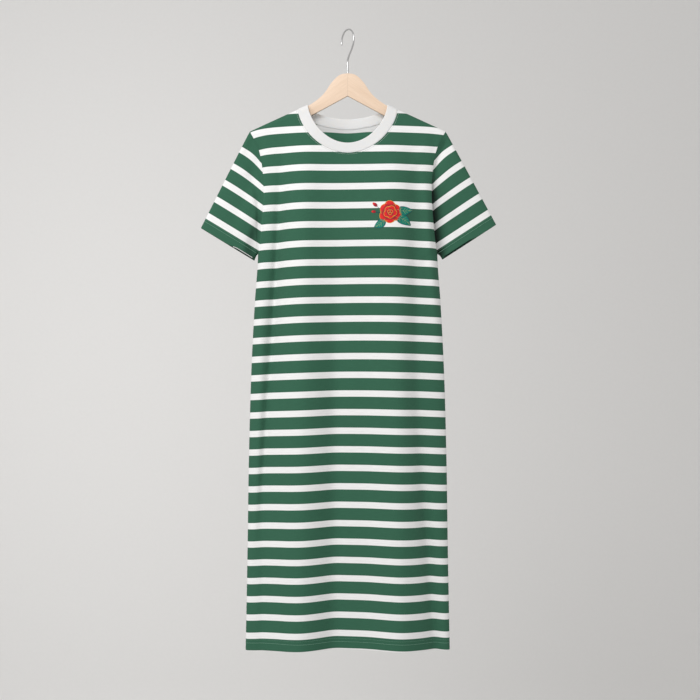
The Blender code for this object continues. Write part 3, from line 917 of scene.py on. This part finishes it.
def stitchesAlong(line, facing, ring=False):
    if ring:
        line, facing = np.concatenate([line, line[:1]]), np.concatenate([facing, facing[:1]])
    place = np.concatenate([[0], np.cumsum(np.linalg.norm(np.diff(line, axis=0), axis=1))])
    count = int(place[-1] / (thread["stitch"] + thread["gap"]))
    starts = np.linspace(0, place[-1], count, endpoint=False)
    dots = []
    for share, height in thread["arch"]:
        where = starts + share * thread["stitch"]
        spot = np.stack([np.interp(where, place, line[:, k]) for k in range(3)], axis=1)
        out = np.stack([np.interp(where, place, facing[:, k]) for k in range(3)], axis=1)
        dots.append(spot + out * (jersey["thickness"] / 2 + height))
    return list(np.stack(dots, axis=1))


def sewStitches(name, row, radius, ring=False):
    sewOn(tubes(name, stitchesAlong(*row, ring), radius, thread["sides"]))


for side in ("front", "back", "right", "left"):
    label = side.capitalize()
    onSleeve = side in sleeves
    net = nets[("sleeve" if onSleeve else "dress") + label]
    rows = thread["cuffRows" if onSleeve else "hemRows"]
    sewStitches("stitches" + label, levelLine(net, rows[0]), thread["radius"], onSleeve)
    sewStitches("coverStitches" + label, levelLine(net, rows[1]), thread["coverRadius"], onSleeve)
    if not onSleeve:
        sewStitches("neckStitches" + label, neckLine(side, thread["neckStep"]), thread["neckRadius"])


# a pale overlocked edge shows in the opening of the right cuff
def sewOverlock(name, side):
    sleeve = sleeves[side]
    tip, inner = cuffEnds(sleeve)
    edge = nets["sleeve" + side.capitalize()]["points"][-1]
    share = (edge - tip) @ (inner - tip) / np.sum((inner - tip) ** 2)
    near, far = thread["overlockSpan"]
    line = edge[(edge[:, 1] < -thread["overlockClear"]) & (share > near) & (share < far)]
    line = line[np.argsort((line - tip) @ (inner - tip))] + thread["overlockPlace"]
    sewOn(tubes(name, [line], thread["overlockRadius"], 2))


sewOverlock("cuffOverlockRight", "right")
print("stitches sewn")


# embroidery on the chest: one open blossom, three leaves and two buds in satin stitch

flower = {
    "centre": (0.0925, -0.4060),
    "rows": 16,
    "columns": 14,
    "lift": 0.0008,
    "tuck": 0.0005,
    "ends": (0.012, 0.988),                      # a patch stops just short of its foot and tip
    "leastHalf": 0.12,                           # half its width there, millimetres
    "fullest": 0.8,                              # under 1 puts the widest place towards the foot
    "crown": 0.35,                               # low for a crown that stays high up to the ends
    "budBlunt": 0.6,
    "cord": 0.00044,
    "leafCord": 0.00036,
    "vein": 0.00022,
    "sideVeins": (0.22, 0.38, 0.54, 0.70),       # where they leave the middle line of a leaf
    "veinReach": 0.72,                           # share of the way to the edge
    "edgingRise": 0.0003,                        # height of each cord over what it is sewn on
    "veinRise": 0.0002,
    "sideVeinRise": 0.0001,
    "stemRise": 0.0003,
    "leafCordRise": 0.0002,
}


# rings of petals about the middle of the blossom, in millimetres
def petalRing(first, turns, foot, tip, shorter, width, layer, blunt):
    return [{"turn": first + 360 / len(turns) * k + turn, "foot": foot, "tip": tip - (k % 2) * shorter,
             "width": width, "layer": layer, "blunt": blunt} for k, turn in enumerate(turns)]


outerPetals = petalRing(90, (4, -3, 5, -4, 3, -5), 4.0, 25.5, 1.8, 12.4, 0.0, 0.50)
innerPetals = petalRing(60, (5, -4, 3, -5, 2), 1.5, 14.6, 1.0, 8.0, 0.0009, 0.55)
heartPetals = petalRing(30, (0, 0, 0), 0.4, 6.2, 0.0, 3.6, 0.0017, 0.60)
leaves = table("foot tip width bend", [
    ((12, -10), (45, -28), 10.6, 3.0), ((14, 6), (49, 6), 9.6, -3.0), ((-10, -14), (-35, -33), 8.8, 2.4),
])
buds = table("foot tip width", [
    ((-28, 13), (-38, 21), 3.6), ((-31, 1), (-41, 2), 2.9),
])
stems = [
    [(-18, 8), (-24, 9), (-28, 13)],
    [(-19, 1), (-26, -1), (-31, 1)],
]


def onChest(x, z, height):
    place = np.asarray(flower["centre"]) + np.stack([x, z], axis=-1) / 1000
    points = bodyPoints("front", place[..., 0], place[..., 1])
    normals = bodyNormals("front", place[..., 0], place[..., 1])
    return points + normals * (jersey["thickness"] / 2 + np.asarray(height))[..., None], normals


def fullAt(along, blunt):
    return np.clip(np.sin(np.clip(along, 0, 1) ** flower["fullest"] * math.pi), 0, 1) ** blunt


# one satin patch from foot to tip; its threads run from the middle line out to the edge
def satinPatch(foot, tip, width, bend=0.0, layer=0.0, blunt=0.9, slant=0.7):
    foot, tip = np.asarray(foot, float), np.asarray(tip, float)
    length = np.linalg.norm(tip - foot)
    way = (tip - foot) / length
    beside = np.array([-way[1], way[0]])
    along = np.linspace(*flower["ends"], flower["rows"])[:, None]
    across = np.linspace(-1, 1, flower["columns"])[None, :]
    half = width * fullAt(along, blunt) + flower["leastHalf"]
    middle = bend * np.sin(along * math.pi)
    x = foot[0] + way[0] * along * length + beside[0] * (middle + across * half)
    z = foot[1] + way[1] * along * length + beside[1] * (middle + across * half)
    crown = (1 - across ** 4) ** 0.5 * np.clip(np.sin(along * math.pi), 0, 1) ** flower["crown"]
    points, normals = onChest(x, z, layer + flower["lift"] * crown)
    strand = (along * length - np.abs(across) * half * slant) / 1000
    uv = np.stack(np.broadcast_arrays(strand, along), axis=-1)
    under = crown * flower["lift"] + layer * 0.5 + flower["tuck"]
    rim = np.concatenate([np.stack([x[0], z[0]], 1), np.stack([x[:, -1], z[:, -1]], 1),
                          np.stack([x[-1, ::-1], z[-1, ::-1]], 1), np.stack([x[::-1, 0], z[::-1, 0]], 1)])
    vein = np.stack([(foot[0] + way[0] * along * length + beside[0] * middle)[:, 0],
                     (foot[1] + way[1] * along * length + beside[1] * middle)[:, 0]], axis=1)
    return {"points": points, "normals": normals, "uv": uv, "under": under, "rim": rim, "vein": vein,
            "layer": layer}


def roundPatch(petal):
    angle = math.radians(petal["turn"])
    way = np.array([math.cos(angle), math.sin(angle)])
    return satinPatch(way * petal["foot"], way * petal["tip"], petal["width"], layer=petal["layer"],
                      blunt=petal["blunt"], slant=0.25)


def sewPatches(name, patches):
    points, faces, normals, under, uv = [], [], [], [], []
    count = 0
    for patch in patches:
        shape = patch["points"].shape[:2]
        faces.append(gridFaces(*shape) + count)
        points.append(patch["points"].reshape(-1, 3))
        normals.append(patch["normals"].reshape(-1, 3))
        under.append(np.broadcast_to(patch["under"], shape).ravel())
        uv.append(patch["uv"].reshape(-1, 2))
        count += shape[0] * shape[1]
    points, faces, normals, under, uv = (np.concatenate(part) for part in (points, faces, normals, under, uv))
    flat = points[faces]
    turned = np.cross(flat[:, 2] - flat[:, 0], flat[:, 3] - flat[:, 1])
    backward = (turned * normals[faces[:, 0]]).sum(axis=1) < 0
    faces[backward] = faces[backward, ::-1]
    sewOn(makeWall(name, points, faces, normals, np.zeros(count), under, uv, sharp=60))


def sewCords(name, lines, radius):
    paths = []
    for line, height in lines:
        line = np.asarray(line, float)
        keep = np.concatenate([[True], np.linalg.norm(np.diff(line, axis=0), axis=1) > 0.05])
        points, normals = onChest(line[keep, 0], line[keep, 1], np.full(keep.sum(), height))
        paths.append(points)
    sewOn(tubes(name, paths, radius, 2))


petalPatches = [roundPatch(petal) for petal in outerPetals]
innerPatches = [roundPatch(petal) for petal in innerPetals + heartPetals]
leafPatches = [satinPatch(leaf["foot"], leaf["tip"], leaf["width"], leaf["bend"]) for leaf in leaves]
budPatches = [satinPatch(bud["foot"], bud["tip"], bud["width"], blunt=flower["budBlunt"]) for bud in buds]
sewPatches("flowerPetals", petalPatches + budPatches)
sewPatches("flowerHeart", innerPatches)
sewPatches("flowerLeaves", leafPatches)
sewCords("flowerEdging", [(patch["rim"], patch["layer"] + flower["edgingRise"])
                          for patch in petalPatches + innerPatches], flower["cord"])


def sideVeins(patch):
    lines = []
    columns = patch["points"].shape[1]
    for share in flower["sideVeins"]:
        row = int(share * flower["rows"])
        start = patch["vein"][row]
        rimRow = min(row + 3, flower["rows"] - 1)
        for spot in (patch["rim"][::-1][rimRow], patch["rim"][columns + rimRow]):
            end = start + (spot - start) * flower["veinReach"]
            lines.append((np.linspace(start, end, 6), flower["lift"] + flower["sideVeinRise"]))
    return lines


sewCords("flowerVeins", [(patch["vein"], flower["lift"] + flower["veinRise"]) for patch in leafPatches]
         + [line for patch in leafPatches for line in sideVeins(patch)], flower["vein"])
sewCords("flowerStems", [(np.array(line, float), flower["stemRise"]) for line in stems]
         + [(patch["rim"], flower["leafCordRise"]) for patch in leafPatches], flower["leafCord"])
print("flower embroidered")


# materials

def addNode(tree, kind, sockets, **settings):
    node = tree.nodes.new("ShaderNode" + kind)
    for name, value in settings.items():
        setattr(node, name, value)
    for name, value in sockets.items():
        if hasattr(value, "node"):
            tree.links.new(value, node.inputs[name])
        else:
            node.inputs[name].default_value = value
    return node


def addMath(tree, operation, *values):
    return addNode(tree, "Math", dict(enumerate(values)), operation=operation).outputs[0]


def mapRange(tree, value, source=(0, 1), goal=(0, 1), smooth=False):
    ends = dict(zip(("From Min", "From Max", "To Min", "To Max"), source + goal))
    curve = "SMOOTHSTEP" if smooth else "LINEAR"
    return addNode(tree, "MapRange", {"Value": value, **ends}, interpolation_type=curve).outputs[0]


def mixColours(tree, factor, a, b):
    return addNode(tree, "Mix", {"Factor": factor, "A": a, "B": b}, data_type="RGBA").outputs["Result"]


def objectPlace(tree):
    return addNode(tree, "TexCoord", {}).outputs["Object"]


def splitAxes(tree, vector):
    return addNode(tree, "SeparateXYZ", {0: vector}).outputs


def clothPlace(tree):
    return splitAxes(tree, addNode(tree, "UVMap", {}, uv_map="clothUv").outputs[0])


def makeMaterial(name, sockets):
    material = bpy.data.materials.new(name)
    material.use_nodes = True
    shader = material.node_tree.nodes["Principled BSDF"]
    for label, value in sockets.items():
        shader.inputs[label].default_value = value
    return material, material.node_tree, shader


def finishShader(tree, shader, colour, tone, height=None, bump=None):
    scaled = addNode(tree, "VectorMath", {0: colour, "Scale": tone}, operation="SCALE")
    tree.links.new(scaled.outputs[0], shader.inputs["Base Color"])
    if bump:
        relief = addNode(tree, "Bump", {"Height": height, "Strength": bump[0], "Distance": bump[1]})
        tree.links.new(relief.outputs[0], shader.inputs["Normal"])


def newGroup(name, inputs, outputs):
    group = bpy.data.node_groups.new(name, "ShaderNodeTree")
    for label, value in inputs.items():
        kind = "NodeSocketVector" if value is None else "NodeSocketFloat"
        socket = group.interface.new_socket(label, in_out="INPUT", socket_type=kind)
        if value is not None:
            socket.default_value = value
    for label in outputs:
        group.interface.new_socket(label, in_out="OUTPUT", socket_type="NodeSocketFloat")
    return group, group.nodes.new("NodeGroupInput").outputs, group.nodes.new("NodeGroupOutput").inputs


# bump is a strength and a distance in metres, tones are the darkest and the lightest share of a colour
knitLook = {"tilt": 0.9, "loop": 0.25, "ridge": 0.5, "slubAlong": 55, "slubDown": 900,
            "slub": {"Scale": 1.0, "Detail": 3.0}}


# plain knit: columns of small loops, given as a height, with soft uneven yarn
def knitGroup():
    group, into, out = newGroup("knitLoops", {"Along": 0.0, "Down": 0.0, "Wale": 0.0011, "Course": 0.0008},
                                ["Height", "Slub"])
    wale = addMath(group, "DIVIDE", into["Along"], into["Wale"])
    course = addMath(group, "DIVIDE", into["Down"], into["Course"])
    half = addMath(group, "PINGPONG", wale, 0.5)
    loop = addMath(group, "ADD", course, addMath(group, "MULTIPLY", half, knitLook["tilt"]))
    loopWave = addMath(group, "SINE", addMath(group, "MULTIPLY", loop, 2 * math.pi))
    ridge = addMath(group, "SINE", addMath(group, "MULTIPLY", half, 2 * math.pi))
    height = addMath(group, "ADD", addMath(group, "MULTIPLY", loopWave, knitLook["loop"]),
                     addMath(group, "MULTIPLY", ridge, knitLook["ridge"]))
    yarn = addNode(group, "CombineXYZ", {0: addMath(group, "MULTIPLY", into["Along"], knitLook["slubAlong"]),
                                         1: addMath(group, "MULTIPLY", into["Down"], knitLook["slubDown"])})
    slub = addNode(group, "TexNoise", {"Vector": yarn.outputs[0], **knitLook["slub"]})
    group.links.new(height, out["Height"])
    group.links.new(slub.outputs["Fac"], out["Slub"])
    return group


knit = knitGroup()

jerseyLook = {
    "green": (0.0382, 0.1300, 0.0785, 1),
    "white": (0.905, 0.903, 0.899, 1),
    "reverse": (0.0560, 0.1950, 0.1180, 1),      # green on the inner side of the cloth: partly the knit's paler wrong side, partly painted light for the dim inside
    "shader": {"Roughness": 0.90, "Sheen Weight": 0.04, "Sheen Roughness": 0.5, "Specular IOR Level": 0.2},
    "bump": (0.25, 0.0003),
    "slub": (0.3, 0.7),
    "tones": (0.93, 1.05),
    "whiteShade": 0.5,           # how deep white falls into the painted shade beside green
    # faint courses beside the stripes: place, half width, depth of tone
    "lines": ((0.205, 0.022, 0.06), (0.940, 0.022, 0.14), (0.385, 0.016, 0.06)),
}


def jerseyMaterial():
    look = jerseyLook
    material, tree, shader = makeMaterial("stripedJersey", look["shader"])
    along, number = clothPlace(tree)[:2]
    halfWhite = stripes["white"] / 2
    phase = addMath(tree, "FRACT", addMath(tree, "ADD", number, 0.5 - halfWhite))
    fromWhite = addMath(tree, "ABSOLUTE", addMath(tree, "SUBTRACT", phase, 0.5))
    green = mapRange(tree, fromWhite, (halfWhite - stripes["edge"], halfWhite + stripes["edge"]))
    down = addMath(tree, "MULTIPLY", number, stripes["pitch"])
    knitted = addNode(tree, "Group", {"Along": along, "Down": down}, node_tree=knit).outputs
    seam, wrongSidePaintedLight = (addNode(tree, "Attribute", {}, attribute_name=name).outputs["Fac"]
                       for name in ("seamShade", "reverse"))
    # the inner wall gets the paler green, partly the knit's wrong side, partly painted light
    face = mixColours(tree, wrongSidePaintedLight, look["green"], look["reverse"])
    # painted shade from the seamShade attribute darkens the colour, less deeply on white
    share = addMath(tree, "MULTIPLY", green, 1 - look["whiteShade"])
    inSeam = addMath(tree, "MULTIPLY", seam, addMath(tree, "ADD", share, look["whiteShade"]))
    tone = mapRange(tree, knitted["Slub"], look["slub"], look["tones"])
    tone = addMath(tree, "MULTIPLY", tone, addMath(tree, "SUBTRACT", 1.0, inSeam))
    for place, halfWidth, depth in look["lines"]:
        off = addMath(tree, "ABSOLUTE", addMath(tree, "SUBTRACT", addMath(tree, "FRACT", number), place))
        line = mapRange(tree, off, (0, halfWidth), (1 - depth, 1), smooth=True)
        tone = addMath(tree, "MULTIPLY", tone, line)
    colour = mixColours(tree, green, look["white"], face)
    finishShader(tree, shader, colour, tone, knitted["Height"], look["bump"])
    return material


ribLook = {
    # one white rib: painted shade makes the brightly lit front darker, and painted light makes the back
    # inside the collar lighter
    "front": (0.810, 0.809, 0.806, 1),
    "back": (0.965, 0.963, 0.958, 1),
    "depths": (-0.006, 0.012),   # where the front's darker painted tone ends and the back's lighter painted tone begins
    "shader": {"Roughness": 0.9, "Sheen Weight": 0.04, "Subsurface Weight": 0.8, "Subsurface Scale": 0.0022,
               "Subsurface Radius": (1.0, 0.95, 0.9)},
    "wale": 0.0019,
    "course": 0.0009,
    "bump": (0.4, 0.0004),
    "tones": (0.955, 1.0),
}


def ribMaterial():
    look = ribLook
    material, tree, shader = makeMaterial("whiteRib", look["shader"])
    along, down = clothPlace(tree)[:2]
    sizes = {"Along": along, "Down": down, "Wale": look["wale"], "Course": look["course"]}
    knitted = addNode(tree, "Group", sizes, node_tree=knit).outputs
    # painted light: by depth, the colour turns from the darker front of the band to its lighter back
    paintedLightShare = mapRange(tree, splitAxes(tree, objectPlace(tree))["Y"], look["depths"])
    tone = mapRange(tree, knitted["Height"], (-0.5, 0.5), look["tones"])
    colour = mixColours(tree, paintedLightShare, look["front"], look["back"])
    finishShader(tree, shader, colour, tone, knitted["Height"], look["bump"])
    return material


woodLook = {
    "pale": (0.860, 0.655, 0.490, 1),
    "dark": (0.790, 0.580, 0.415, 1),
    "shader": {"Roughness": 0.46, "Coat Weight": 0.10, "Coat Roughness": 0.3},
    "bump": (0.08, 0.0004),
    "bands": (0.42, 0.72),
    "bandDepth": 0.70,
    "pores": (0.35, 0.62),
    "tones": (0.93, 1.02),
    "mitre": 0.0012,             # half width of the dark line where the two arms meet
    "mitreTone": 0.86,
    "lean": 34,                  # the grain follows each arm
}

# how far each pattern of the grain is squeezed along and across the board
grainLook = {
    "Bands": ((0.5, 14, 14), {"Scale": 14, "Detail": 4, "Distortion": 0.4}),
    "Pores": ((2.0, 60, 60), {"Scale": 30, "Detail": 2, "Distortion": 0.4}),
}


# grain that runs along a board: long soft bands with fine pores in them
def grainGroup():
    group, into, out = newGroup("boardGrain", {"Place": None}, list(grainLook))
    for label, (squeeze, noise) in grainLook.items():
        place = addNode(group, "VectorMath", {0: into["Place"], 1: squeeze}, operation="MULTIPLY").outputs[0]
        group.links.new(addNode(group, "TexNoise", {"Vector": place, **noise}).outputs["Fac"], out[label])
    return group


grain = grainGroup()


def woodMaterial(name, hand, shift):
    look = woodLook
    material, tree, shader = makeMaterial(name, look["shader"])
    place = objectPlace(tree)
    turned = addNode(tree, "Mapping", {"Vector": place, "Location": (shift, 0, 0),
                                       "Rotation": (0, math.radians(-hand * look["lean"]), 0)})
    board = addNode(tree, "Group", {"Place": turned.outputs[0]}, node_tree=grain).outputs
    bands = addMath(tree, "MULTIPLY", mapRange(tree, board["Bands"], look["bands"]), look["bandDepth"])
    pores = mapRange(tree, board["Pores"], look["pores"], look["tones"])
    mitre = mapRange(tree, addMath(tree, "ABSOLUTE", splitAxes(tree, place)["X"]), (0, look["mitre"]),
                     (look["mitreTone"], 1), smooth=True)
    finishShader(tree, shader, mixColours(tree, bands, look["pale"], look["dark"]),
                 addMath(tree, "MULTIPLY", pores, mitre), board["Pores"], look["bump"])
    return material


# satin stitch: fine threads side by side across a patch
satinLook = {
    "shader": {"Roughness": 0.55, "Specular IOR Level": 0.3},
    "pitch": 0.00042,
    "tones": (0.86, 1.08),
    "bump": (0.5, 0.00015),
}


def satinGroup():
    group, into, out = newGroup("satinThreads", {"Across": 0.0, "Pitch": 0.0004}, ["Height", "Tone"])
    strand = addMath(group, "DIVIDE", into["Across"], into["Pitch"])
    wave = addMath(group, "PINGPONG", strand, 0.5)
    group.links.new(addMath(group, "SINE", addMath(group, "MULTIPLY", wave, math.pi)), out["Height"])
    pick = addNode(group, "TexWhiteNoise", {}, noise_dimensions="1D")
    group.links.new(addMath(group, "FLOOR", strand), pick.inputs["W"])
    group.links.new(mapRange(group, pick.outputs["Value"], goal=satinLook["tones"]), out["Tone"])
    return group


satin = satinGroup()


def satinMaterial(name, foot, tip, blend=(0.12, 0.62)):
    material, tree, shader = makeMaterial(name, satinLook["shader"])
    across, along = clothPlace(tree)[:2]
    strands = addNode(tree, "Group", {"Across": across, "Pitch": satinLook["pitch"]}, node_tree=satin).outputs
    colour = mixColours(tree, mapRange(tree, along, blend, smooth=True), foot, tip)
    finishShader(tree, shader, colour, strands["Tone"], strands["Height"], satinLook["bump"])
    return material


steelLook = {"colour": (0.62, 0.62, 0.62), "shader": {"Roughness": 0.30, "Metallic": 1.0},
             "noise": {"Scale": 350, "Detail": 3}, "span": (0, 1), "tones": (0.88, 1.10), "bump": None}
plyLook = {"shader": {"Roughness": 0.6}, "noise": {"Scale": 1500, "Detail": 2}, "span": (0.3, 0.7),
           "tones": (0.84, 1.10), "bump": (0.4, 0.0001)}
paperLook = {"colour": (0.775, 0.768, 0.758), "shader": {"Roughness": 0.9}, "noise": {"Scale": 60},
             "span": (0, 1), "tones": (0.985, 1.015), "bump": None}


# one colour with fine uneven grains in it: wire, thread and paper
def grainyMaterial(name, look, colour):
    material, tree, shader = makeMaterial(name, look["shader"])
    grains = addNode(tree, "TexNoise", {"Vector": objectPlace(tree), **look["noise"]}).outputs["Fac"]
    tone = mapRange(tree, grains, look["span"], look["tones"])
    finishShader(tree, shader, colour, tone, grains, look["bump"])
    return material


def paint(piece, material):
    piece.data.materials.clear()
    piece.data.materials.append(material)


threadLook = {
    "sewing": (0.190, 0.380, 0.275),
    "pale": (0.560, 0.640, 0.590),
    "white": (0.850, 0.850, 0.840),
    "red": (0.800, 0.012, 0.012, 1),
    "crimson": (0.330, 0.006, 0.022, 1),
    "wine": (0.230, 0.008, 0.030, 1),
    "teal": (0.002, 0.240, 0.170, 1),
    "deepTeal": (0.002, 0.160, 0.130, 1),
    "gold": (0.820, 0.430, 0.050),
    "paleGold": (0.420, 0.520, 0.240),
    "navy": (0.012, 0.045, 0.130),
}

stripedJersey = jerseyMaterial()
for name in ("dressFront", "dressBack", "sleeveRight", "sleeveLeft"):
    paint(sewn[name], stripedJersey)
paint(sewn["neckbandRib"], ribMaterial())
paint(sewn["hangerArmRight"], woodMaterial("beechRight", -1, 0.40))
paint(sewn["hangerArmLeft"], woodMaterial("beechLeft", 1, 1.10))
paint(sewn["hangerHook"], grainyMaterial("brightWire", steelLook, steelLook["colour"]))

satinPaints = {
    "flowerPetals": ("redSatin", "crimson", "red", (0.40, 0.80)),
    "flowerHeart": ("crimsonSatin", "wine", "red", (0.15, 0.75)),
    "flowerLeaves": ("tealSatin", "deepTeal", "teal", (0.12, 0.62)),
}
for name, (finish, foot, tip, blend) in satinPaints.items():
    paint(sewn[name], satinMaterial(finish, threadLook[foot], threadLook[tip], blend))

threadPaints = {
    "paleGreenThread": ("sewing", [kind + place for place in ("Front", "Back", "Right", "Left")
                                   for kind in ("stitches", "coverStitches")]),
    "neckThread": ("pale", ["neckStitchesFront", "neckStitchesBack"]),
    "whiteThread": ("white", ["cuffOverlockRight"]),
    "goldThread": ("gold", ["flowerEdging"]),
    "paleGoldThread": ("paleGold", ["flowerVeins"]),
    "navyThread": ("navy", ["flowerStems"]),
}
for finish, (colour, names) in threadPaints.items():
    threadFinish = grainyMaterial(finish, plyLook, threadLook[colour])
    for name in names:
        paint(sewn[name], threadFinish)
print("cloth finished")


# camera

lens = {"distance": 3.2, "x": 0.0051, "z": -0.706, "focal": 74.47}
camera = bpy.data.objects.new("camera", bpy.data.cameras.new("camera"))
bpy.context.scene.collection.objects.link(camera)
camera.location = (lens["x"], -lens["distance"], lens["z"])
camera.rotation_euler = (math.radians(90), 0, 0)
camera.data.lens = lens["focal"]
camera.data.sensor_width = 36
camera.data.clip_end = 60
bpy.context.scene.camera = camera


# studio: a pale floor that curves up into a far backdrop, soft light from the left

studio = {
    "floorZ": -3.0,
    "near": -6.0,
    "wall": 4.2,
    "curve": 0.6,
    "curvePoints": 17,
    "halfWidth": 7.0,
    "height": 6.5,
    "world": (1.0, 0.99, 0.98, 1),
    "worldStrength": 0.560,
}


def buildStudio():
    s = studio
    turn = np.linspace(0, math.pi / 2, s["curvePoints"])
    y = np.concatenate([[s["near"]], s["wall"] - s["curve"] + s["curve"] * np.sin(turn), [s["wall"]]])
    z = np.concatenate([[0], s["curve"] * (1 - np.cos(turn)), [s["height"]]]) + s["floorZ"]
    x = np.array([-s["halfWidth"], s["halfWidth"]])
    points = np.stack(np.broadcast_arrays(x[None, :], y[:, None], z[:, None]), axis=-1)
    floor = meshPiece("studioFloor", points.reshape(-1, 3), gridFaces(len(y), 2))
    paint(floor, grainyMaterial("palePaper", paperLook, paperLook["colour"]))

    world = bpy.data.worlds.new("softRoom")
    bpy.context.scene.world = world
    world.use_nodes = True
    background = world.node_tree.nodes["Background"]
    background.inputs["Color"].default_value = s["world"]
    background.inputs["Strength"].default_value = s["worldStrength"]


lamps = table("name place aim size watts", [
    ("keySoftbox", (-4.2, -2.8, 1.3), (0, 0, -0.60), (1.9, 1.9), 52),
    ("topSoftbox", (-1.0, -2.8, 1.2), (0, 0, -0.50), (1.3, 1.3), 50),
    ("backdropSoftbox", (-1.3, 1.5, -0.6), (-1.3, 4.2, -0.6), (0.8, 3.4), 22),
])


def addLamp(lamp):
    data = bpy.data.lights.new(lamp["name"], "AREA")
    data.shape = "ELLIPSE"
    data.size, data.size_y = lamp["size"]
    data.energy = lamp["watts"]
    light = bpy.data.objects.new(lamp["name"], data)
    bpy.context.scene.collection.objects.link(light)
    light.location = lamp["place"]
    aim = Vector(lamp["aim"]) - Vector(lamp["place"])
    light.rotation_euler = aim.to_track_quat("-Z", "Y").to_euler()
    light.visible_camera = False


buildStudio()
for lamp in lamps:
    addLamp(lamp)
bpy.context.scene.view_settings.view_transform = "Standard"
print("studio lit")
